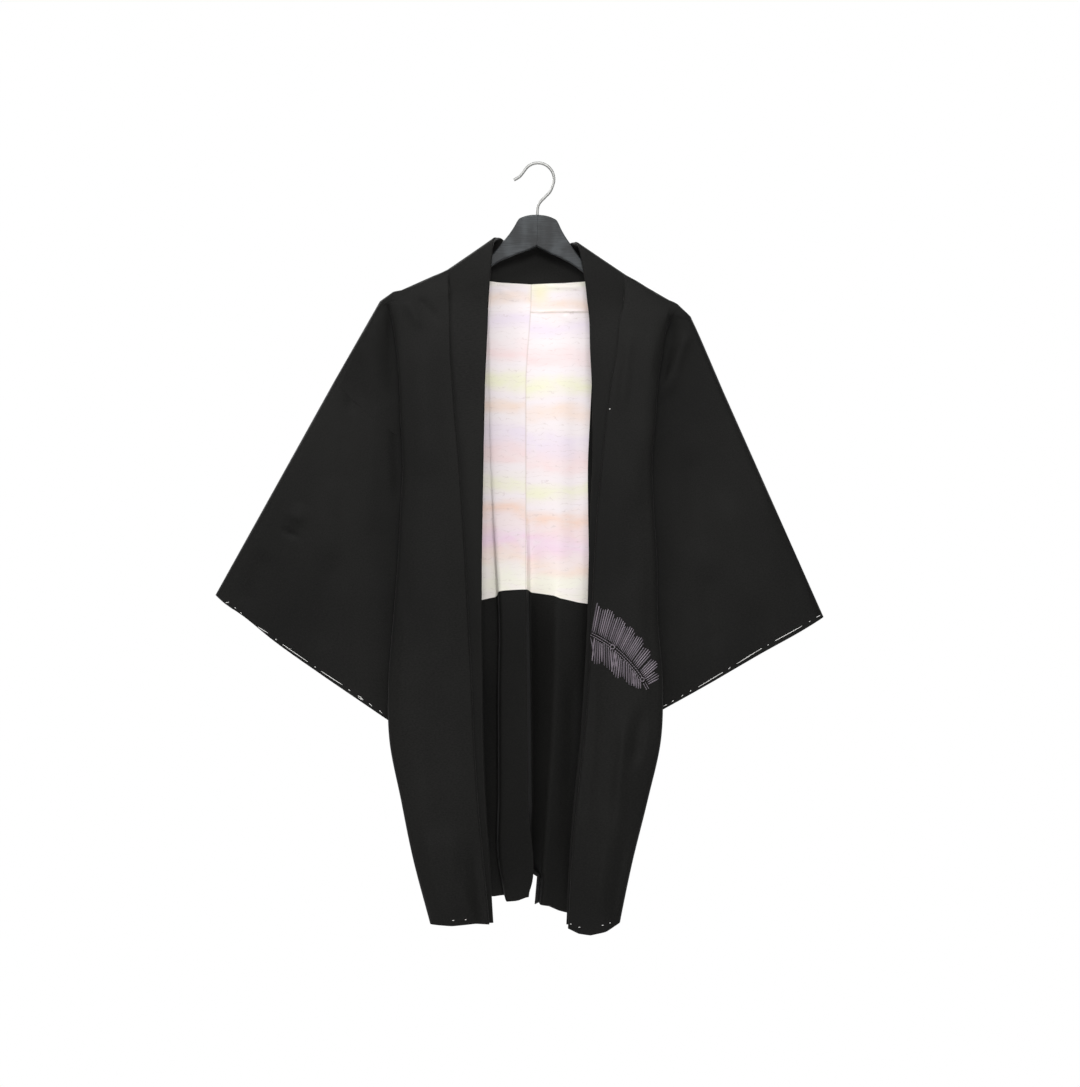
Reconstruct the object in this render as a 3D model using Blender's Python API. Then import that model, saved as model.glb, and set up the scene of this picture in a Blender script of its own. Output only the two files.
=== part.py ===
"""Haori jacket hung open on a wooden hanger.

Frame: +Z up, +X to the wearer's left, -Y towards the front. The origin is the
inner top of the hook, where a rail carries it. All sizes are in millimetres and
are turned to metres when a mesh is made. The wearer's right side is at -X.
"""
import math

import bmesh
import bpy
import numpy as np

MM = 0.001

# ---------------------------------------------------------------- sizes
WALL = 1.5                 # doubled silk with its turnings
SEAM_GAP = 0.3             # clearance between neighbouring pieces
LAP = WALL + SEAM_GAP      # distance between the middles of two layers that lie together
COLLAR_WIDTH = 53.0        # finished width of the folded collar
COLLAR_LEAF_GAP = 3.6      # distance between the middles of the collar's two leaves
SLEEVE_HALF_DEPTH = 8.0    # half the thickness of the hanging sleeve
UNDERARM_HALF_DEPTH = 5.8  # the same at the underarm
SLEEVE_FOLD_ROUND = 9.0    # length of the round at the sleeve's top fold
ARMHOLE_SAG = 10.0         # how far the armhole seam sags below a straight line
HANGER_DEPTH = 10.0
HANGER_BEVEL = 2.5
HANGER_TILT = math.radians(2.3)
HOOK_RADIUS = 20.8         # to the wire's middle
WIRE_DIAMETER = 3.9

# Where each side's main corners hang, as (x, z)
SIDES = {
    "right": dict(
        sign=-1.0,
        neck_point=(-116.0, -136.5),
        shoulder=((-139.0, -147.5), (-173.0, -162.5), (-197.0, -170.5)),
        tip=(-205.0, -178.0),
        drop=(-233.0, -227.0),
        armhole_top=(-265.0, -283.0),
        underarm=(-121.0, -388.0),
        cuff_top=(-420.0, -562.0),
        cuff_bottom=(-138.0, -760.0),
    ),
    "left": dict(
        sign=1.0,
        neck_point=(112.0, -143.0),
        shoulder=((139.0, -158.0), (161.0, -173.0), (182.0, -182.5)),
        tip=(198.0, -198.0),
        drop=(213.0, -231.0),
        armhole_top=(240.0, -294.0),
        underarm=(96.0, -388.0),
        cuff_top=(371.0, -589.0),
        cuff_bottom=(100.0, -743.0),
    ),
}

# Front panels, x at each level: the opening edge of the collar, the groove where the panel
# folds over the collar, the outer fold, and the tuck behind the outer fold (which is the
# gusset seam below the underarm)
FRONT_COLUMNS = ("z", "opening", "groove", "fold", "tuck")
FRONT_LEVELS = {
    "right": (
        (-188, -65, -115, -189, -195),
        (-240, -67, -114, -183, -172),
        (-284, -69, -111, -179, -158),
        (-336, -70, -107, -177, -139),
        (-388, -71, -102, -174, -121),
        (-450, -72, -98, -177, -117),
        (-514, -73, -94, -180, -113),
        (-591, -73, -90, -186, -109),
        (-668, -72, -86, -192, -106),
        (-745, -71, -83, -191, -103),
        (-822, -68, -78, -176, -100),
        (-899, -63, -71, -160, -98),
        (-981, -58, -63, -138, -95),
    ),
    "left": (
        (-204, 67, 106, 166, 172),
        (-244, 68, 102, 161, 156),
        (-284, 70, 95, 155, 140),
        (-336, 71, 88, 151, 118),
        (-388, 71, 83, 147, 96),
        (-450, 68, 77, 149, 95),
        (-514, 66, 73, 153, 95),
        (-591, 64, 69, 154, 94),
        (-668, 60, 66, 160, 92),
        (-745, 55, 60, 158, 90),
        (-822, 47, 51, 141, 86),
        (-899, 41, 44, 122, 80),
        (-983, 37, 39, 105, 74),
    ),
}

# How far each layer of both fronts hangs before the hanger's plane at each level: the face of
# the panel, its crown, the turned-in layer, the tuck; and the depth of the groove's pleat
FRONT_DEPTH_COLUMNS = ("z", "face", "crown", "inner", "tuck", "pleat")
FRONT_DEPTHS = (
    (-182, 14.0, 1.0, 12.6, 10.6, 3.2),
    (-236, 20.0, 2.0, 15.0, 12.0, 3.6),
    (-284, 24.0, 3.0, 17.0, 12.5, 4.0),
    (-336, 28.0, 4.0, 19.0, 12.0, 4.6),
    (-388, 31.0, 5.0, 19.0, 10.0, 5.0),
    (-450, 33.0, 6.0, 19.0, 12.5, 5.2),
    (-514, 35.0, 7.0, 20.0, 13.5, 5.4),
    (-591, 37.0, 8.0, 20.0, 13.5, 5.6),
    (-668, 39.0, 9.0, 20.0, 14.0, 5.8),
    (-745, 41.0, 9.0, 21.0, 16.0, 6.0),
    (-822, 43.0, 9.0, 23.0, 19.0, 6.2),
    (-899, 45.0, 9.0, 26.0, 22.0, 6.4),
    (-985, 47.0, 9.0, 29.0, 25.0, 6.6),
)

# Back panels, x at each level: the centre seam, the crease beside it, the outer fold, and the
# tuck (the gusset seam below the underarm)
BACK_COLUMNS = ("z", "centre", "crease", "fold", "tuck")
BACK_LEVELS = {
    "right": (
        (-192, -14.5, -50, -187, -192),
        (-240, -15.5, -50, -180, -172),
        (-290, -16, -50, -174, -157),
        (-340, -16, -50, -170, -139),
        (-388, -16, -50, -166, -121),
        (-450, -16, -50, -167, -117),
        (-520, -16, -50, -170, -113),
        (-600, -16, -50, -174, -109),
        (-680, -15, -50, -178, -106),
        (-760, -14, -50, -176, -103),
        (-830, -13, -50, -162, -100),
        (-900, -9, -50, -148, -98),
        (-962, -7, -50, -132, -95),
    ),
    "left": (
        (-206, -15, 26, 164, 171),
        (-246, -15.5, 26, 159, 156),
        (-290, -16, 26, 152, 139),
        (-340, -16, 26, 145, 118),
        (-388, -16, 26, 139, 96),
        (-450, -16, 26, 140, 95),
        (-520, -16, 26, 142, 95),
        (-600, -16, 24, 143, 94),
        (-680, -15, 22, 147, 92),
        (-760, -14, 18, 145, 90),
        (-830, -13, 13, 130, 86),
        (-900, -9, 8, 114, 80),
        (-968, -2, 4, 101, 74),
    ),
}

# How far each layer of both backs hangs behind the hanger's plane at each level: the face at
# the centre and at the outer fold; the height of the ripple beside the centre seam; the
# turned-in layer and the tuck
BACK_DEPTH_COLUMNS = ("z", "centre", "outer", "ripple", "inner", "tuck")
BACK_DEPTHS = (
    (-190, 27.0, 15.0, 0.0, 12.6, 10.6),
    (-240, 30.0, 22.0, 0.0, 15.0, 12.0),
    (-290, 32.0, 27.0, 0.0, 17.0, 12.5),
    (-340, 34.0, 31.0, 0.0, 19.0, 12.0),
    (-388, 35.0, 34.0, 0.0, 19.0, 10.0),
    (-450, 36.0, 36.0, 0.5, 19.0, 12.5),
    (-520, 37.0, 38.0, 1.5, 20.0, 13.5),
    (-600, 38.0, 40.0, 4.0, 20.0, 13.5),
    (-680, 39.0, 42.0, 6.5, 20.0, 14.0),
    (-760, 40.0, 43.0, 8.0, 21.0, 16.0),
    (-830, 41.0, 44.0, 8.5, 23.0, 19.0),
    (-900, 42.0, 45.0, 9.0, 26.0, 22.0),
    (-968, 43.0, 46.0, 9.0, 28.0, 25.0),
)

# Neck edge of the back from its centre to the neck point: share of the way in x, share of the
# rise, distance behind the hanger's plane
NECK_EDGE = (
    (0.00, 0.00, 26.0),
    (0.35, 0.14, 23.5),
    (0.58, 0.31, 19.0),
    (0.76, 0.60, 14.0),
)
NECK_CENTRE = (-14.0, -151.0)
CENTRE_GAP = 0.45          # each back's distance from the line of the centre seam

# The collar round the neck: its place (a share of the neck edge for the back, a row of the
# front panel for the front), the fold edge's x, y and z, then how far the outer and the inner
# leaf's edges lie from the neck seam, each first across the collar and then off its face
COLLAR_BACK = {
    "right": (
        (0.00, -14.0, 27.0, -104.0, -6.0, 2.1, -2.0, -2.0),
        (0.35, -38.0, 23.0, -103.5, -6.0, 2.4, -2.0, -2.4),
        (0.58, -50.0, 16.0, -100.0, -4.0, 2.8, -1.0, -2.6),
        (0.76, -55.0, 8.5, -97.5, 0.5, 2.4, 3.0, -2.8),
        (0.90, -56.5, 4.0, -97.0, 1.5, 1.0, 4.0, -2.8),
    ),
    "left": (
        (0.00, -14.0, 27.0, -104.0, -6.0, 2.1, -2.0, -2.0),
        (0.35, 16.0, 24.0, -104.5, -6.0, 2.4, -2.0, -2.4),
        (0.58, 35.0, 17.0, -104.0, -4.0, 2.8, -1.0, -2.6),
        (0.76, 44.0, 9.0, -102.5, 0.5, 2.4, 3.0, -2.8),
        (0.90, 47.0, 4.0, -102.0, 1.5, 1.0, 4.0, -2.8),
    ),
}
COLLAR_FRONT = {
    "right": (
        (0.0, -57.0, 0.0, -97.0, 1.3, 0.0, 5.0, -2.8),
        (1.0, -58.0, -5.5, -99.5, 1.3, 0.0, 5.0, -2.8),
        (2.0, -59.5, -10.0, -107.0, 1.3, 0.0, 5.0, -2.8),
        (3.0, -62.0, -12.0, -138.0, 1.5, -1.0, 5.0, -3.4),
        (3.5, -63.5, -10.5, -162.0, 1.0, -2.4, 5.0, -5.0),
    ),
    "left": (
        (0.0, 48.0, 0.0, -102.0, 1.3, 0.0, 5.0, -2.8),
        (1.0, 51.0, -5.5, -104.5, 1.3, 0.0, 5.0, -2.8),
        (2.0, 54.0, -10.0, -112.0, 1.3, 0.0, 5.0, -2.8),
        (3.0, 61.0, -12.0, -150.0, 1.5, -1.0, 5.0, -3.4),
        (3.5, 64.0, -11.0, -176.0, 1.0, -2.4, 5.0, -5.0),
    ),
}

# Height of the lining's hem at the centre seam and at its outer end
LINING_HEM = {"right": (-553.0, -570.0), "left": (-553.0, -572.0)}

# Hanger outline from its middle to a tip, before the tilt: x, top edge, bottom edge
HANGER_OUTLINE = (
    (0.0, -66.0, -107.0),
    (26.0, -72.5, -118.0),
    (34.0, -89.0, -122.0),
    (43.0, -101.0, -126.0),
    (56.0, -118.0, -134.0),
    (70.0, -131.0, -144.0),
    (86.0, -141.0, -153.0),
    (112.0, -151.0, -163.0),
    (150.0, -164.0, -175.5),
    (178.0, -174.5, -184.0),
    (186.0, -177.5, -186.5),
)

# ---------------------------------------------------------------- shared shaping functions
def smooth(stations, values, at):
    """Cubic curve through values at rising stations, read at one place."""
    stations = np.asarray(stations, float)
    values = np.asarray(values, float)
    steps = np.diff(stations)
    shaped = steps.reshape((-1,) + (1,) * (values.ndim - 1))
    rates = np.diff(values, axis=0) / shaped
    slopes = np.empty_like(values)
    slopes[0] = rates[0]
    slopes[-1] = rates[-1]
    slopes[1:-1] = (rates[:-1] * shaped[1:] + rates[1:] * shaped[:-1]) / (shaped[1:] + shaped[:-1])
    at = min(max(at, stations[0]), stations[-1])
    i = min(int(np.searchsorted(stations, at, side="right")) - 1, len(steps) - 1)
    u = (at - stations[i]) / steps[i]
    start, end = values[i], values[i + 1]
    pull_start, pull_end = slopes[i] * steps[i], slopes[i + 1] * steps[i]
    return ((2 * u**3 - 3 * u**2 + 1) * start + (u**3 - 2 * u**2 + u) * pull_start
            + (-2 * u**3 + 3 * u**2) * end + (u**3 - u**2) * pull_end)


def read_row(columns, table, z):
    """A table's values at height z, by column name."""
    rows = np.asarray(table, float)
    return dict(zip(columns, smooth(-rows[:, 0], rows, -z)))


def section_at(sections, row):
    """The keys of a panel's section at any place between its rows."""
    return smooth(range(len(sections)), sections, row)


def mix(a, b, share):
    return a + (b - a) * share


CORNER_REACH = 0.33        # the most of a stretch that a rounded corner takes up


def round_path(keys, radii, arc_points, between):
    """A path along keys with its corners rounded, with a fixed count of points.

    radii and arc_points have an entry for each key, between one for each stretch.
    """
    keys = [np.asarray(key, float) for key in keys]
    path = []
    for i, key in enumerate(keys):
        inner = 0 < i < len(keys) - 1
        start = end = key
        if inner:
            back, ahead = keys[i - 1] - key, keys[i + 1] - key
            start = key + back * min(radii[i] / np.linalg.norm(back), CORNER_REACH)
            end = key + ahead * min(radii[i] / np.linalg.norm(ahead), CORNER_REACH)
        if i:
            for k in range(between[i - 1]):
                path.append(mix(leave, start, (k + 1) / (between[i - 1] + 1)))
        count = arc_points[i] if inner else 1
        for k in range(count):
            u = k / (count - 1) if count > 1 else 0.5
            path.append((1 - u)**2 * start + 2 * u * (1 - u) * key + u**2 * end)
        leave = end
    return path


# ---------------------------------------------------------------- mesh building
def coat(name, colour, roughness, metallic=0.0):
    """A plain finish."""
    material = bpy.data.materials.new(name)
    material.use_nodes = True
    shader = material.node_tree.nodes["Principled BSDF"]
    shader.inputs["Base Color"].default_value = (*colour, 1.0)
    shader.inputs["Roughness"].default_value = roughness
    shader.inputs["Metallic"].default_value = metallic
    return material


def make_object(name, data, material):
    thing = bpy.data.objects.new(name, data)
    bpy.context.collection.objects.link(thing)
    data.materials.append(material)
    return thing


def cloth_object(name, rows, material, closed=False):
    """Cloth of one wall thickness whose middle runs through rows of points."""
    bm = bmesh.new()
    grid = [[bm.verts.new(np.asarray(point) * MM) for point in row] for row in rows]
    for upper, lower in zip(grid[:-1], grid[1:]):
        count = min(len(upper), len(lower))
        for j in range(count if closed else count - 1):
            k = (j + 1) % count
            bm.faces.new((upper[j], upper[k], lower[k], lower[j]))
    bmesh.ops.recalc_face_normals(bm, faces=bm.faces)
    mesh = bpy.data.meshes.new(name)
    bm.to_mesh(mesh)
    bm.free()
    mesh.shade_smooth()
    wall = make_object(name, mesh, material).modifiers.new("wall", "SOLIDIFY")
    wall.thickness = WALL * MM
    wall.offset = 0.0
    wall.use_even_offset = True


def moved_out(rows, distance):
    """Rows of points moved along their sheet's normals."""
    grid = np.array(rows)
    down, across = np.gradient(grid, axis=0), np.gradient(grid, axis=1)
    normals = np.cross(across, down)
    normals /= np.linalg.norm(normals, axis=2, keepdims=True)
    return grid + normals * distance


# ---------------------------------------------------------------- body panels
# A panel is a stack of sections: the shoulder's roll, a hook row, then the table's levels.
SHOULDER_ROLL = ((0.9, 0.0), (5.2, 1.0), (8.5, 5.0))    # distance from the crest, drop
NECK_FALL = (0.0, 2.0, 6.0)        # how the back's neck edge falls over the same rows
SHOULDER_INSETS = (28.0, 25.0, 21.0, 17.0)              # from the tip, fold to tuck
HOOK_ROW = len(SHOULDER_ROLL)      # the row where the cloth leaves the hanger
FIRST_LEVEL = HOOK_ROW + 1
UNDERARM_ROW = 8                   # the row of every panel that reaches the underarm
PANEL_ROWS = (0, 1, 2, 3, 3.5) + tuple(range(4, 17))
HOOK_OUT = 1.0                     # how far the hook row stands out
HOOK_PLEAT = ((-0.6, -9.4), (-0.2, -12.4), (2.6, -13.0))    # its first keys, from the neck
CREST_PLEAT = (2.0, 4.8)           # the same two folds on the crest

# Keys of a front section: seam edge, pleat's back and front, two on the crown, the outer
# fold's front and back, the tuck's front and back. A back section has the centre and two
# beside it in place of the first three.
FRONT_RADII = (0, 2.0, 2.0, 30, 30, 7, 7, 1.5, 1.5)
BACK_RADII = (0, 4, 4, 30, 30, 7, 7, 1.5, 1.5)
ARC_POINTS = (1, 2, 2, 1, 1, 2, 2, 3, 2)
BETWEEN = (1, 0, 1, 0, 1, 0, 1, 0)
TUCK_KEY = 7
TUCK_COLUMN = sum(ARC_POINTS[:TUCK_KEY]) + sum(BETWEEN[:TUCK_KEY]) + 1
FRONT_CROWN = (0.3, 0.7)           # shares of the way from the groove to the fold
BACK_CROWN = ((0.35, 2.0), (0.70, 4.0))                 # share and extra depth
TUCK_SLANT = 0.35                  # slant of the turned-in layer where the tuck is outermost
TUCK_TURN = 3.0                    # depth of the turned edge below the underarm
RIPPLE_SIDE = 5.0                  # from the right back's crease to the ripple's side

# The flat double layer beyond the tuck, out to the fold from the shoulder's tip
DROP_SHARES = (0.0, 0.012, 0.035, 0.07, 0.12, 0.34, 0.56, 0.78, 1.0)    # fold's way by row
DROP_MIDDLE = 0.55                 # share of the drop line at its middle corner
DROP_HALF_DEPTH = 7.6              # at its tuck near the shoulder
FOLD_EDGE = 0.9                    # half the gap between front and back along the fold
OUTER_SHARES = (0.3, 0.6)          # of its plain stretch
OUTER_ARC = 4                      # points round its fold


def ridge_height(side, x):
    """Height of the shoulder's crest over x."""
    corner = SIDES[side]
    crest = (corner["neck_point"],) + corner["shoulder"] + (corner["tip"],)
    return float(smooth([abs(p[0]) for p in crest], [p[1] for p in crest], abs(x)))


def drop_line(side, share):
    """The fold from the shoulder's tip down to the top of the armhole, as (x, z)."""
    corner = SIDES[side]
    points = (corner["tip"], corner["drop"], corner["armhole_top"])
    return smooth((0.0, DROP_MIDDLE, 1.0), points, share)


def fold_start(length):
    """Share of a flat double layer where its end starts to round."""
    return 1.0 - min(SLEEVE_FOLD_ROUND / length, 0.5)


def fold_half(length, half_depth, share):
    """Half depth of a flat double layer at a share of its length, rounded at its end."""
    start = fold_start(length)
    turn = max(0.0, share - start) / (1.0 - start)
    return FOLD_EDGE + (half_depth - FOLD_EDGE) * math.sqrt(max(0.0, 1.0 - turn * turn))


def fold_shares(length):
    """Shares along a flat double layer: its plain stretch, then round its end."""
    start = fold_start(length)
    plain = [start * share for share in OUTER_SHARES] + [start]
    turns = [math.sin(math.pi / 2 * k / OUTER_ARC) for k in range(1, OUTER_ARC + 1)]
    return plain + [mix(start, 1.0, turn) for turn in turns]


def outer_points(side, tuck, row, facing):
    """The panel from its tuck out to the shoulder's drop, for rows above the underarm."""
    rolls = [behind for behind, _ in SHOULDER_ROLL]
    half_depth = min(float(np.interp(row, range(len(rolls)), rolls)), SLEEVE_HALF_DEPTH)
    share = float(np.interp(row, range(len(DROP_SHARES)), DROP_SHARES))
    x, z = drop_line(side, share)
    fall = np.array((x - tuck[0], 0.0, z - tuck[2]))
    length = float(np.linalg.norm(fall))
    points = []
    for along in fold_shares(length):
        point = tuck + fall * along
        point[2] -= ARMHOLE_SAG * math.sin(math.pi * along) * share**2
        point[1] = facing * fold_half(length, mix(abs(tuck[1]), half_depth, along), along)
        points.append(point)
    return points


def tuck_back(level, tuck):
    """Depth behind a tuck: the flat layer's above the underarm, a turned edge's below."""
    last = UNDERARM_ROW - FIRST_LEVEL
    if level > last:
        return tuck - TUCK_TURN
    return mix(DROP_HALF_DEPTH, UNDERARM_HALF_DEPTH, level / last)


def outer_keys(side, fold, tuck, outer, inner, tuck_depth, level):
    """x and distance from the hanger's plane of the last four keys of a section."""
    sign = SIDES[side]["sign"]
    slant = TUCK_SLANT * sign * max(0.0, sign * (tuck - fold))
    return [(fold, outer), (fold + slant, inner), (tuck - slant, tuck_depth),
            (tuck, tuck_back(level, tuck_depth))]


def front_level(side, z, level):
    """Keys of a front section at height z."""
    sign = SIDES[side]["sign"]
    across = read_row(FRONT_COLUMNS, FRONT_LEVELS[side], z)
    depth = read_row(FRONT_DEPTH_COLUMNS, FRONT_DEPTHS, z)
    groove, fold, face, crown = across["groove"], across["fold"], depth["face"], depth["crown"]
    near, far = FRONT_CROWN
    keys = [
        (across["opening"] + sign * COLLAR_WIDTH, face - depth["pleat"]),
        (groove, face - depth["pleat"]),
        (groove, face),
        (mix(groove, fold, near), face + 0.8 * crown),
        (mix(groove, fold, far), face + crown),
    ]
    keys += outer_keys(side, fold, across["tuck"], face, depth["inner"], depth["tuck"], level)
    return [(x, -y, z) for x, y in keys]


def shoulder_x(side):
    """x of the last four keys along the shoulder's crest."""
    sign, tip = SIDES[side]["sign"], SIDES[side]["tip"][0]
    return [tip - sign * inset for inset in SHOULDER_INSETS]


def front_sections(side):
    """Sections of a front from the shoulder's crest to the hem, each a list of keys."""
    sign, neck = SIDES[side]["sign"], SIDES[side]["neck_point"][0]
    outer = shoulder_x(side)
    crest = [neck] + [neck + sign * out for out in CREST_PLEAT]
    crest += [mix(neck, outer[0], share) for share in FRONT_CROWN] + outer
    sections = []
    for behind, drop in SHOULDER_ROLL:
        sections.append([(x, -behind, ridge_height(side, x) - drop) for x in crest])
    for level, row in enumerate(FRONT_LEVELS[side]):
        sections.append(front_level(side, row[0], level))
    hook = mix(np.array(sections[HOOK_ROW - 1]), np.array(sections[HOOK_ROW]), 0.5)
    hook[:, 1] -= HOOK_OUT
    height = hook[2][2]
    for i, (out, y) in enumerate(HOOK_PLEAT):
        hook[i] = (neck + sign * out, y, height)
    sections.insert(HOOK_ROW, hook.tolist())
    return np.array(sections)


def back_level(side, z, level):
    """Keys of a back section at height z."""
    sign = SIDES[side]["sign"]
    across = read_row(BACK_COLUMNS, BACK_LEVELS[side], z)
    depth = read_row(BACK_DEPTH_COLUMNS, BACK_DEPTHS, z)
    centre = across["centre"] + sign * CENTRE_GAP
    crease, fold = across["crease"], across["fold"]
    face, outer, ripple = depth["centre"], depth["outer"], depth["ripple"]
    keys = [(centre, face + 0.3 * ripple)]
    if side == "right":
        keys += [(crease, face - ripple), (crease + sign * RIPPLE_SIDE, face + 0.5 * ripple)]
    else:
        keys += [(mix(centre, crease, 0.75), face + 0.7 * ripple), (crease, face - ripple)]
    for share, extra in BACK_CROWN:
        keys.append((mix(crease, fold, share), mix(face, outer, share) + extra))
    keys += outer_keys(side, fold, across["tuck"], outer, depth["inner"], depth["tuck"], level)
    return [(x, y, z) for x, y in keys]


def neck_edge(side, share):
    """The neck edge of the back from its centre (0) to the neck point (1)."""
    neck_x, neck_z = SIDES[side]["neck_point"]
    rows = NECK_EDGE + ((1.0, 1.0, SHOULDER_ROLL[0][0]),)
    rise, behind = smooth([row[0] for row in rows], [row[1:] for row in rows], share)
    centre_x = NECK_CENTRE[0] + SIDES[side]["sign"] * CENTRE_GAP
    return np.array((mix(centre_x, neck_x, share), behind, mix(NECK_CENTRE[1], neck_z, rise)))


def back_sections(side):
    """Sections of a back from the neck edge and shoulder's crest to the hem."""
    crest = [SIDES[side]["neck_point"][0]] + shoulder_x(side)
    sections = []
    for (behind, drop), fall in zip(SHOULDER_ROLL, NECK_FALL):
        keys = [neck_edge(side, row[0]) - np.array((0.0, 0.0, fall)) for row in NECK_EDGE]
        keys += [np.array((x, behind, ridge_height(side, x) - drop)) for x in crest]
        sections.append(keys)
    for level, row in enumerate(BACK_LEVELS[side]):
        sections.append(back_level(side, row[0], level))
    hook = mix(np.array(sections[HOOK_ROW - 1]), np.array(sections[HOOK_ROW]), 0.5)
    hook[:, 1] += HOOK_OUT
    sections.insert(HOOK_ROW, hook.tolist())
    return np.array(sections, float)


def panel_row(side, sections, radii, facing, row):
    """One row of points across a body panel."""
    path = round_path(section_at(sections, row), radii, ARC_POINTS, BETWEEN)
    if row > UNDERARM_ROW:
        return path[:TUCK_COLUMN + 1]
    return path + outer_points(side, path[-1], row, facing)


def back_rows(side):
    """Rows of points of a back, by their place."""
    sections = back_sections(side)
    return {row: panel_row(side, sections, BACK_RADII, 1.0, row) for row in PANEL_ROWS}


def build_panels(silk):
    """The two fronts and the two backs."""
    for side in SIDES:
        sections = front_sections(side)
        fronts = [panel_row(side, sections, FRONT_RADII, -1.0, row) for row in PANEL_ROWS]
        cloth_object("front_" + side, fronts, silk)
        cloth_object("back_" + side, list(back_rows(side).values()), silk)


# ---------------------------------------------------------------- sleeves
SLEEVE_RINGS = 9
SLEEVE_END = 0.975         # the lower fold stops just short of the underarm corner
SLEEVE_ARC = 3             # steps round the lower fold
SEAM_CLEAR = (2.0, 3.0)    # seam gaps between the panel's and the sleeve's edge, extra at the end
SEAM_CLEAR_FROM = 0.72     # share of the seam where the extra starts


def armhole_seam(side, share):
    """Point on the armhole seam, from the top fold (0) to the underarm (1)."""
    corner = SIDES[side]
    x, z = mix(np.array(corner["armhole_top"]), np.array(corner["underarm"]), share)
    return np.array((x, 0.0, z - ARMHOLE_SAG * math.sin(math.pi * share)))


def round_share(share):
    """Share of full depth at a share of the way round a quarter circle."""
    share = min(1.0, max(0.0, share))
    return math.sqrt(1.0 - (1.0 - share)**2)


def sleeve_rings(side):
    """Closed rings of a sleeve from the armhole to the cuff."""
    corner = SIDES[side]
    cuff_top = np.array((corner["cuff_top"][0], 0.0, corner["cuff_top"][1]))
    cuff_bottom = np.array((corner["cuff_bottom"][0], 0.0, corner["cuff_bottom"][1]))
    start = armhole_seam(side, 0.0)
    along = (cuff_top - start) / np.linalg.norm(cuff_top - start)
    length = float(np.linalg.norm(armhole_seam(side, 1.0) - start))
    fold = SLEEVE_FOLD_ROUND / length
    shares = [1.0 - share for share in reversed(fold_shares(length))]
    for k in range(SLEEVE_ARC + 1):
        shares.append(SLEEVE_END - fold * (1.0 - math.sin(math.pi / 2 * k / SLEEVE_ARC)))
    rings = []
    for i in range(SLEEVE_RINGS + 1):
        front, back = [], []
        for share in shares:
            extra = max(0.0, share - SEAM_CLEAR_FROM) / (1.0 - SEAM_CLEAR_FROM)
            clear = SEAM_GAP * (SEAM_CLEAR[0] + SEAM_CLEAR[1] * extra)
            seam = armhole_seam(side, share) + along * clear
            point = mix(seam, mix(cuff_top, cuff_bottom, share), i / SLEEVE_RINGS)
            depth = mix(SLEEVE_HALF_DEPTH, UNDERARM_HALF_DEPTH, share)
            depth *= round_share(share / fold) * round_share((SLEEVE_END - share) / fold)
            front.append(point - np.array((0.0, depth, 0.0)))
            back.append(point + np.array((0.0, depth, 0.0)))
        rings.append(front + back[-2:0:-1])
    return rings


def build_sleeves(silk):
    for side in SIDES:
        cloth_object("sleeve_" + side, sleeve_rings(side), silk, closed=True)


# ---------------------------------------------------------------- gussets
GUSSET_ROWS = (8.15,) + tuple(range(9, 17))     # rows of the body panels
GUSSET_STEPS = 6
GUSSET_LAP = 0.4           # how far each long edge reaches under its panel
GUSSET_INSET = 1.5
GUSSET_BULGE = 5.0


def build_gussets(silk):
    """A strip across the side between the front's and the back's tucks."""
    lap = np.array((0.0, GUSSET_LAP, 0.0))
    for side in SIDES:
        sign = SIDES[side]["sign"]
        fronts, backs = front_sections(side), back_sections(side)
        rows = []
        for row in GUSSET_ROWS:
            fore = section_at(fronts, row)[TUCK_KEY] - lap
            aft = section_at(backs, row)[TUCK_KEY] + lap
            points = []
            for k in range(GUSSET_STEPS + 1):
                share = k / GUSSET_STEPS
                point = mix(fore, aft, share)
                point[0] -= sign * (GUSSET_INSET + GUSSET_BULGE * math.sin(math.pi * share)**2)
                points.append(point)
            rows.append(points)
        cloth_object("gusset_" + side, rows, silk)


# ---------------------------------------------------------------- collar
FRONT_LEAVES = (0.3, -1.9, 6.0, -5.5)      # its leaf edges down the fronts
LEAF_BEHIND = 1.9          # from the front's seam layer back to the collar's outer leaf
BEND_INSET = 2.0           # from the groove to the outer leaf's bend
BEND_MIN = 5.0             # and at least this far from the collar's edge
COLLAR_RADII = (0, 0.1, 1.7, 1.7, 0)
COLLAR_POINTS = (1, 1, 2, 2, 1)
COLLAR_BETWEEN = (1, 1, 0, 1)


def collar_stations(side):
    """Stations from the back's centre to the front hem: seam, fold, leaf offsets, groove."""
    fronts = front_sections(side)
    stations = []
    for row in COLLAR_BACK[side]:
        stations.append((neck_edge(side, row[0]), np.array(row[1:4]), row[4:], None))
    for row in COLLAR_FRONT[side]:
        stations.append((section_at(fronts, row[0])[0], np.array(row[1:4]), row[4:], None))
    behind = LEAF_BEHIND + COLLAR_LEAF_GAP / 2
    for seam, groove in fronts[FIRST_LEVEL:, :2]:
        opening = read_row(FRONT_COLUMNS, FRONT_LEVELS[side], seam[2])["opening"]
        fold = np.array((opening, seam[1] + behind, seam[2]))
        stations.append((seam, fold, FRONT_LEAVES, abs(groove[0]) - BEND_INSET))
    return stations


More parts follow.
